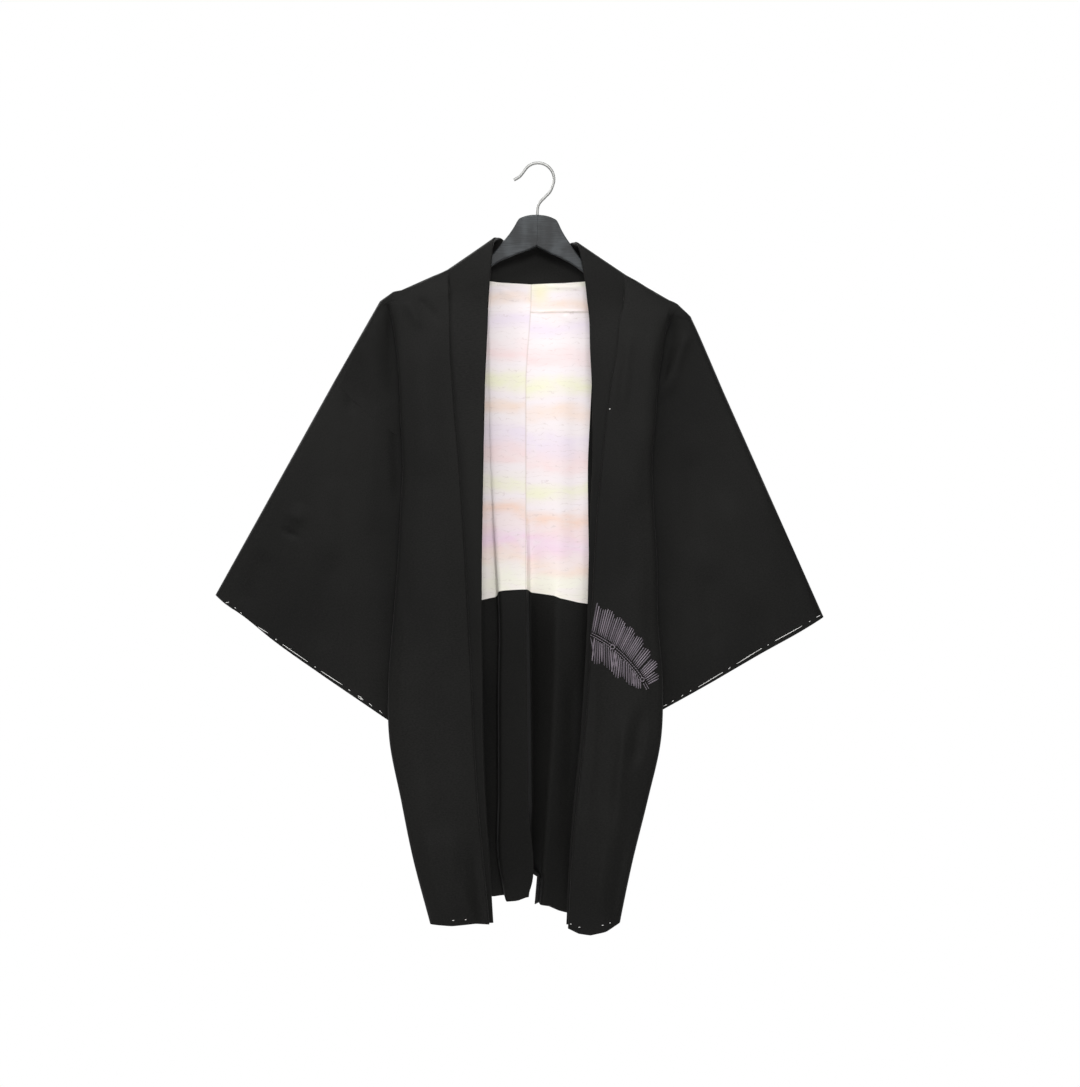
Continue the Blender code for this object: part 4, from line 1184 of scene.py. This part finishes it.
stations = collar_stations("right")[::-1] + collar_stations("left")[1:]
headings = np.gradient([(seam + fold) / 2 for seam, fold, _, _ in stations], axis=0)
collar_keys = []
for (seam, fold, leaves, bend), heading in zip(stations, headings):
    inward = (fold - seam) / np.linalg.norm(fold - seam)
    outward_way = np.cross(inward, heading)
    outward_way /= np.linalg.norm(outward_way)
    outer = seam + inward * leaves[0] + outward_way * leaves[1]
    inner = seam + inward * leaves[2] + outward_way * leaves[3]
    apart = outward_way * COLLAR_GAP / 2
    middle = mix(outer, fold + apart, 0.5)
    if bend is not None:
        middle = outer.copy()
        middle[0] = math.copysign(max(bend, abs(fold[0]) + BEND_MIN), seam[0])
    collar_keys.append((outer, middle, fold + apart, fold - apart, inner))
collar_rows = [
    round_path(section_at(collar_keys, row), COLLAR_RADII, COLLAR_ARC, COLLAR_BETWEEN)
    for row in np.linspace(0, len(stations) - 1, (len(stations) - 1) * COLLAR_ROWS + 1)]
collar = crepe_piece("collar", np.array(collar_rows))


# ---------------------------------------------------------------- lining of the back
# Pale figured silk over the upper back, felled to the crepe round the neck and hemmed at the waist.
# Its dyes lie in soft uneven bands across, with fine printed wave lines; painted shade darkens it
# along the centre seam and under a tuck.
LINING_TOP = 1.4  # row of the back where it meets the collar
LINING_KEY = 3  # key of the back's sections where it ends
LINING_HEM = {"right": (-553.0, -570.0), "left": (-553.0, -572.0)}
LINING_HEM_POWER = 1.5
LINING_ROWS = 190
LINING_WALL = 0.8
LINING_OFF = (WALL + LINING_WALL) / 2 + 0.3

SEAM_X = -16.0  # where the two halves of the lining meet
SEAM_LEAN = (7.0, -290.0, -160.0)  # how far it leans to the left between two heights
SEAM_REACH = 30.0  # width of silk that leans with it
SEAM_BLUR = 0.2
LINING_LAP = 1.0  # of the left half over the right one
HALF_SHIFT = 11.0  # how much higher the bands lie on the right half
BAND_WANDER = 13.0
WAVE_PITCH = 7.0
THREAD_PITCH = 0.8
DYES = {
    "cream": (0.93, 0.90, 0.79),
    "lime": (0.91, 0.89, 0.68),
    "peach": (0.95, 0.78, 0.69),
    "salmon": (0.95, 0.71, 0.61),
    "rose": (0.95, 0.76, 0.76),
    "lilac": (0.89, 0.79, 0.88),
    "orchid": (0.93, 0.71, 0.83),
    "pale": (0.94, 0.86, 0.87),
}
BANDS = (  # height, dye
    (-562.0, "cream"), (-546.0, "cream"), (-526.0, "peach"), (-496.0, "orchid"), (-478.0, "rose"),
    (-461.0, "salmon"), (-442.0, "pale"), (-424.0, "lime"), (-406.0, "pale"), (-390.0, "rose"),
    (-359.0, "lilac"), (-340.0, "pale"), (-322.0, "peach"), (-307.0, "pale"), (-287.0, "lime"),
    (-270.0, "pale"), (-252.0, "rose"), (-230.0, "pale"), (-213.0, "lilac"), (-198.0, "pale"),
    (-183.0, "peach"), (-168.0, "pale"), (-154.0, "cream"),
)
STAIN = ((2.0, 0.0, -166.0), 20.0)  # a yellowed patch: its middle and reach
# A grey line of painted shade along the tuck, on the left half of the lining.
TUCK_SHADE_LINE = (-190.0, 1.6)  # height and half width of the grey line in the tuck

lining_silk = Finish("lining_silk", Specular_IOR_Level=0.3, Sheen_Weight=0.05)
metres = lining_silk.place("", (1.0, 1.0, 1.0))
across, _, height = lining_silk.parts(metres)
lean, lean_from, lean_to = (x * MM for x in SEAM_LEAN)
across = across - height.between(lean_from, lean_to) * lean
wander = lining_silk.clouds((16.0, 1.0, 34.0), 4.0)
cloud = lining_silk.clouds((22.0, 22.0, 46.0), 5.0, 0.6)
blur = lining_silk.clouds((9.0, 9.0, 14.0))
left_half = across.between((SEAM_X - SEAM_BLUR) * MM, (SEAM_X + SEAM_BLUR) * MM)
level = height - (1.0 - left_half) * (HALF_SHIFT * MM)
level += ((wander - 0.5) * 2.2 + (blur - 0.5) * 1.6) * (BAND_WANDER * MM)
low, high = BANDS[0][0] * MM, BANDS[-1][0] * MM
stops = [((z * MM - low) / (high - low), DYES[dye]) for z, dye in BANDS]
lining_colour = lining_silk.node("ShaderNodeValToRGB", {"stops": stops}, {0: (level - low) / (high - low)})
lining_colour = lining_silk.tint(cloud.between(0.36, 0.7) * 0.55, lining_colour, DYES["pale"])
curls = lining_silk.clouds((55.0, 1.0, 90.0), 3.0)
printed = (height.lines(WAVE_PITCH) + curls * 16.0).wave().between(0.93, 1.0)
broken = lining_silk.clouds((130.0, 1.0, 60.0)).between(0.42, 0.56)
lining_colour = lining_silk.tint(printed * broken * 0.24, lining_colour, (0.50, 0.38, 0.36))
stain_middle, stain_reach = STAIN
seen_flat = lining_silk.node("ShaderNodeVectorMath", {"operation": "MULTIPLY"}, {
    0: metres, 1: (1.0, 0.0, 1.0)})
stain_at = lining_silk.node("ShaderNodeVectorMath", {"operation": "DISTANCE"}, {
    0: seen_flat, 1: tuple(x * MM for x in stain_middle)}, "Value")
stained = (1.0 - stain_at.between(0.0, stain_reach * MM)) * 0.6
lining_colour = lining_silk.tint(stained, lining_colour, (0.90, 0.84, 0.50))
# Painted shade: a patchy grey-brown line along the tuck on the left half, darker than the silk round
# it.
fold_z, fold_half_width = TUCK_SHADE_LINE
off_fold = (height - fold_z * MM).size()
tuck_shade = (1.0 - off_fold.between(0.0, fold_half_width * MM)) * left_half * cloud
lining_colour = lining_silk.tint(tuck_shade * 0.8, lining_colour, (0.42, 0.33, 0.24))
# Painted shade: the silk is darkened to a brownish grey along the centre seam, where the two halves
# meet.
seam_painted_shade = 1.0 - (across - SEAM_X * MM).size().between(SEAM_BLUR * MM, 7 * SEAM_BLUR * MM)
lining_colour = lining_silk.tint(seam_painted_shade * 0.3, lining_colour, (0.45, 0.34, 0.28))
lining_silk.wear("Base Color", lining_colour)
lining_silk.wear("Roughness", 0.42 + 0.12 * cloud)
u, v, _ = lining_silk.parts(lining_silk.place("weave", (1.0, 1.0, 1.0)))
threads = v.lines(THREAD_PITCH).wave() + u.lines(THREAD_PITCH).wave()
lining_silk.relief(0.4 * threads + 2.0 * cloud, 0.06, 0.5)

for side in SIDES:
    last = key_column(LINING_KEY)
    points = panel_points(side, back_sections(side), BACK_RADII, 1.0)
    points = creased(points, side, "back")[:, :last + 1]
    centre, outer = LINING_HEM[side]
    columns = []
    for j in range(last + 1):
        hem = mix(centre, outer, (j / last)**LINING_HEM_POWER)
        end = float(np.interp(-hem, -points[:, j, 2], PANEL_ROWS))
        at = mix(LINING_TOP, end, np.linspace(0.0, 1.0, LINING_ROWS))
        columns.append(np.array([np.interp(at, PANEL_ROWS, points[:, j, k]) for k in range(3)]).T)
    sheet = np.array(columns).transpose(1, 0, 2)
    sheet = creased(sheet - outward(sheet, 1.0) * LINING_OFF, side, "lining")
    lean, lean_from, lean_to = SEAM_LEAN
    raised = np.clip((sheet[..., 2] - lean_from) / (lean_to - lean_from), 0.0, 1.0)
    near = np.clip(1.0 - np.abs(sheet[..., 0] - SEAM_X) / SEAM_REACH, 0.0, 1.0)
    sheet[..., 0] += lean * eased(raised) * near
    if side == "right":
        sheet[:, 0, 0] += LINING_LAP
    mesh = cloth_mesh(f"lining_{side}_silk", sheet)
    lining = show(mesh.name, mesh, lining_silk, (f"lining_{side}",))
    thicken(lining, LINING_WALL, even=False)


# ---------------------------------------------------------------- embroidery
# A spray of leaves on the left front, by the wearer's hip, a common leaf ornament of no
# particular design: satin stitches of mauve-grey silk floss, long threads side by side on the
# crepe, with a couched double stem and two small rings.
FLOSS_PITCH = 2.9  # between neighbouring threads
FLOSS = (1.9, 0.8)  # width and height of a thread
FLOSS_STEPS = 6
LEAF_START = 3.8  # from the stem's middle
LEAF_FOOT = 0.8  # how much narrower a leaf is at the stem
LEAF_POINT = 0.17  # how much shorter a leaf is at its sides
LEAF_LEAN = 0.45  # how far a leaf's tip follows the slant of the stem
LEAF_LIFT = 0.35  # of every other leaf, whose sides lie over its neighbours'
LEAF_STRAY = (0.96, 1.02)  # of a thread's length
LEAF_TONES = (0.53, 0.43)  # in turn, from dark (0) to light (1)
LEAF_SHADES = (-0.34, 0.3)  # how far one thread's tone strays
STEM = (
    (46.0, -598.0), (64.0, -607.0), (84.0, -617.5), (102.0, -630.5), (118.0, -646.5),
    (132.0, -664.5), (141.0, -680.0),
)
STEM_OFFSETS = (-1.5, 1.5)
STEM_STITCHES = 44
STEM_FLOSS = (1.3, 1.0)
STEM_COVERED = 0.8  # share of its place that a stitch fills
STEM_TONE, STEM_SHADES = 0.6, (-0.1, 0.1)
LEAVES = (  # place along the stem, direction in degrees (0 towards the left), length, half width
    (0.09, 84.0, 38.0, 8.6), (0.20, 80.0, 41.0, 8.8), (0.31, 75.0, 41.0, 8.8),
    (0.42, 70.0, 39.0, 8.6), (0.52, 64.0, 36.5, 8.4), (0.62, 58.0, 34.0, 8.2),
    (0.72, 51.0, 31.0, 7.8), (0.82, 43.0, 28.0, 7.2), (0.91, 31.0, 21.0, 6.4),
    (0.14, -83.0, 35.0, 9.0), (0.27, -94.0, 34.5, 9.4), (0.40, -86.0, 34.0, 9.4),
    (0.53, -97.0, 32.0, 9.2), (0.66, -88.0, 29.0, 8.8), (0.78, -96.0, 19.0, 7.0),
)
RINGS = ((0.44, 2.7), (0.86, 2.4))  # place along the stem, radius
RING_STITCHES = 14
RING_FLOSS = (1.4, 0.9)
RING_COVERED = 0.85
RING_TONE, RING_SHADES = 0.9, (-0.1, 0.08)
RING_LIFT = 1.0  # above the cloth
RING_CLEAR = 3.4  # how near a ring's middle the stem stops
LOOK_FROM = 300.0  # distance from which points on the cloth are sought
CLOTH_REACH = -30.0  # stitches that would fall behind this depth are past the fold
STITCH_ARC = ((-1.0, -0.15), (-0.6, 0.72), (0.0, 1.0), (0.6, 0.72), (1.0, -0.15))
END_WIDTH, END_HEIGHT = 0.55, 0.35  # shares of a stitch's own at its ends
DARKEST, LIGHTEST = 0.02, 0.98


def surface_of(piece):
    """The piece's outer surface as a tree for finding points on it."""
    depsgraph = bpy.context.evaluated_depsgraph_get()
    return BVHTree.FromObject(piece.evaluated_get(depsgraph), depsgraph)


def on_cloth(tree, x, z, side=-1.0):
    """The point of the cloth at (x, z) seen from the front (-1) or the back (+1), and its normal."""
    start = Vector((x * MM, side * LOOK_FROM * MM, z * MM))
    place, normal, _, _ = tree.ray_cast(start, Vector((0.0, -side, 0.0)))
    if place is None:
        return None, None
    return np.array(place) / MM, np.array(normal)


class Needlework:
    """Raised stitches laid on cloth, gathered into one piece."""

    def __init__(self, deepest=math.inf):
        self.shape = bmesh.new()
        self.lie = self.shape.loops.layers.uv.new("floss")
        self.deepest = deepest

    def face(self, corners, tone, along):
        for loop in self.shape.faces.new(corners).loops:
            loop[self.lie].uv = (tone, along)

    def stitch(self, path, normals, floss, tone):
        """One raised stitch: a ridge along path, flat underneath, thinner at both ends."""
        width, height = floss
        rings = []
        for i, (point, normal) in enumerate(zip(path, normals)):
            heading = path[min(i + 1, len(path) - 1)] - path[max(i - 1, 0)]
            across = np.cross(normal, heading)
            across /= max(np.linalg.norm(across), 1e-9)
            end = math.sin(math.pi * (i + 0.35) / (len(path) - 0.3))
            half, full = width / 2 * mix(END_WIDTH, 1.0, end), mix(END_HEIGHT, 1.0, end)
            rings.append([
                self.shape.verts.new((point + across * half * out + normal * height * up * full) * MM)
                for out, up in STITCH_ARC])
        corners = len(STITCH_ARC)
        for i, (ring, following) in enumerate(zip(rings, rings[1:])):
            for k in range(corners):
                after = (k + 1) % corners
                self.face((ring[k], ring[after], following[after], following[k]), tone, i / len(path))
        for ring in (rings[0][::-1], rings[-1]):
            self.face(ring, tone, 0.0)

    def sew(self, cloth, points, floss, tone=0.5, shades=None, lift=0.0, side=-1.0):
        """A stitch laid along points, if they all meet the cloth; its tone strays by shades."""
        places, normals = [], []
        for x, z in points:
            place, normal = on_cloth(cloth, x, z, side)
            if place is None or place[1] > self.deepest:
                return
            places.append(place + normal * lift)
            normals.append(normal)
        if shades:
            tone += needle.uniform(*shades)
        self.stitch(places, normals, floss, min(max(tone, DARKEST), LIGHTEST))

    def piece(self, name, finish):
        bmesh.ops.recalc_face_normals(self.shape, faces=self.shape.faces)
        mesh = bpy.data.meshes.new(name)
        self.shape.to_mesh(mesh)
        self.shape.free()
        mesh.shade_smooth()
        return show(name, mesh, finish)


silk_floss = Finish("silk_floss", Specular_IOR_Level=0.5, Sheen_Weight=0.15, Sheen_Roughness=0.35)
tone, _, _ = silk_floss.parts(silk_floss.place("floss", (1.0, 1.0, 1.0)))
fibre = silk_floss.clouds((900.0, 900.0, 900.0))
tones = (
    (0.0, (0.045, 0.037, 0.047)), (0.4, (0.12, 0.100, 0.121)), (0.7, (0.21, 0.177, 0.209)),
    (1.0, (0.36, 0.315, 0.36)),
)
silk_floss.wear("Base Color", silk_floss.node(
    "ShaderNodeValToRGB", {"stops": tones}, {0: tone * 0.8 + fibre * 0.2}))
silk_floss.wear("Roughness", 0.3 + 0.2 * fibre)
silk_floss.relief(fibre, 0.1, 0.5)


def on_stem(share):
    return smooth(np.linspace(0.0, 1.0, len(STEM)), STEM, share)


def pointing(angle):
    return np.array((math.cos(angle), math.sin(angle)))


def sideways(way):
    return np.array((-way[1], way[0]))


front_cloth = surface_of(panels["front", "left"])
needle = np.random.default_rng(5)
spray = Needlework(CLOTH_REACH)
for number, (share, degrees, length, half_width) in enumerate(LEAVES):
    root, ahead = on_stem(share), on_stem(share + 0.01) - on_stem(share)
    way = pointing(math.radians(degrees))
    slant = float(ahead @ way) / float(ahead @ sideways(way))
    lift = LEAF_LIFT * (number % 2)
    count = round(2 * half_width / FLOSS_PITCH)
    for k in range(count):
        across = (k + 0.5) / count * 2 - 1
        foot = LEAF_START + across * half_width * slant
        tip = length * (1.0 - LEAF_POINT * across**2) * needle.uniform(*LEAF_STRAY)
        tip += across * half_width * slant * LEAF_LEAN
        points = []
        for run in np.linspace(0.0, 1.0, FLOSS_STEPS + 1):
            out = sideways(way) * across * half_width * mix(LEAF_FOOT, 1.0, run)
            points.append(root + way * mix(foot, tip, run) + out)
        spray.sew(front_cloth, points, FLOSS, LEAF_TONES[number % 2], LEAF_SHADES, lift)
for offset in STEM_OFFSETS:  # the double stem, couched
    for k in range(STEM_STITCHES):
        a, b = on_stem(k / STEM_STITCHES), on_stem((k + STEM_COVERED) / STEM_STITCHES)
        if min(np.linalg.norm(a - on_stem(share)) for share, _ in RINGS) < RING_CLEAR:
            continue
        way = (b - a) / np.linalg.norm(b - a)
        points = [mix(a, b, s / 2) + sideways(way) * offset for s in range(3)]
        spray.sew(front_cloth, points, STEM_FLOSS, STEM_TONE, STEM_SHADES)
for share, radius in RINGS:
    for k in range(RING_STITCHES):
        angles = [2 * math.pi * (k + s / 2 * RING_COVERED) / RING_STITCHES for s in range(3)]
        points = [on_stem(share) + radius * pointing(angle) for angle in angles]
        spray.sew(front_cloth, points, RING_FLOSS, RING_TONE, RING_SHADES, RING_LIFT)
embroidery = spray.piece("embroidery", silk_floss)


# ---------------------------------------------------------------- basting
# White cotton basting still holds both cuffs and the front hems, as on a jacket that has
# not been worn: one long stitch, one short, a few millimetres in from the edge.
THREAD = (0.85, 0.5)  # width and height
THREAD_STEP = 4.0
SHORT_STITCH = 4.0
TIP_HIDDEN = 0.5  # of a short stitch, at each end
CUFF_BASTING = {  # distance from the cuff's outer corner: from, to, inset at both
    "right": (
        (16, 20, 1.6, 4.6), (29, 32, 3.4, 3.0), (39, 42, 2.2, 1.6), (69, 84, 1.2, 3.4),
        (96, 99, 3.4, 3.2), (108, 148, 3.4, 3.8), (158, 161, 3.8, 3.6), (169, 202, 3.6, 4.6),
        (211, 215, 4.4, 3.8), (226, 229, 5.0, 2.6), (229, 235, 2.6, 3.6), (235, 228, 3.6, 5.0),
        (244, 249, 4.4, 3.4), (260, 265, 4.2, 3.4),
    ),
    "left": (
        (-1, 8, 4.0, 5.2), (17, 20, 5.4, 5.0), (30, 70, 5.4, 5.8), (79, 82, 5.6, 5.2),
        (90, 128, 5.6, 4.4), (137, 141, 4.6, 4.2), (149, 186, 4.2, 3.4), (196, 199, 4.0, 3.6),
        (208, 212, 3.8, 3.4), (222, 226, 3.8, 3.2), (233, 238, 3.4, 3.6),
    ),
}
BACK_BASTING = ((24.0, 34.0), (3.0, 9.0))  # long and short: least and greatest on the backs
BACK_GAPS = (7.0, 10.0)
BACK_INSETS = (3.4, 3.6)
BACK_ENDS = (14.0, 50.0)  # from the cuff's outer and lower corners
HEM_BASTING = {  # x from, x to, height above the hem
    "right": ((-109.6, -107, 7.4), (-93.6, -91.4, 6.8)),
    "left": ((41.2, 43.2, 7.6), (51.6, 54.2, 8.4), (81.6, 84, 9.8), (91.6, 93, 8.2)),
}
THREAD_TIP = ((92.0, -319.6), (93.4, -318.8))  # a loose white end by the left collar
TIP_THREAD = (1.3, 0.9)

cotton = Finish("basting_cotton", Specular_IOR_Level=0.3, Sheen_Weight=0.2)
twist = cotton.clouds((1400.0, 1400.0, 1400.0))
cotton.wear("Base Color", cotton.tint(twist, (0.80, 0.79, 0.76), (0.98, 0.97, 0.95)))
cotton.wear("Roughness", 0.75 + 0.15 * twist)
cotton.relief(twist, 0.15, 0.6)


def cuff_point(side, distance, inset):
    """The point of a cuff at a distance from its outer corner, in from its edge."""
    top, bottom = np.array(SIDES[side]["cuff_top"]), np.array(SIDES[side]["cuff_bottom"])
    length = float(np.linalg.norm(bottom - top))
    along = (bottom - top) / length
    inside = np.array((along[1], -along[0]))
    inside *= math.copysign(1.0, inside[1])
    return top + along * distance + inside * (inset - cuff_bow(side, distance / length))


for side, corner in SIDES.items():
    sleeve_cloth, front_cloth = surface_of(panels["sleeve", side]), surface_of(panels["front", side])
    stitches = Needlework()
    runs = [(*run, -1.0) for run in CUFF_BASTING[side]]
    at, end = BACK_ENDS[0], math.dist(corner["cuff_top"], corner["cuff_bottom"]) - BACK_ENDS[1]
    while at < end:
        for lengths in BACK_BASTING:
            length = needle.uniform(*lengths)
            runs.append((at, at + length, *BACK_INSETS, 1.0))
            at += length + needle.uniform(*BACK_GAPS)
    for start, end, inset_start, inset_end, facing in runs:
        if abs(end - start) <= SHORT_STITCH:
            start, end = start + TIP_HIDDEN, end - TIP_HIDDEN
        steps = max(2, round(abs(end - start) / THREAD_STEP))
        points = []
        for share in (s / steps for s in range(steps + 1)):
            points.append(cuff_point(side, mix(start, end, share), mix(inset_start, inset_end, share)))
        stitches.sew(sleeve_cloth, points, THREAD, side=facing)
    for start, end, above in HEM_BASTING[side]:
        below = float(np.interp((start + end) / 2, *zip(*HEMS["front", side])))
        z = FRONT_LEVELS[side][-1][0] + above - below
        stitches.sew(front_cloth, [(mix(start, end, s / 2), z) for s in range(3)], THREAD)
    if side == "left":
        stitches.sew(front_cloth, THREAD_TIP, TIP_THREAD)
    basting = stitches.piece(f"basting_{side}", cotton)
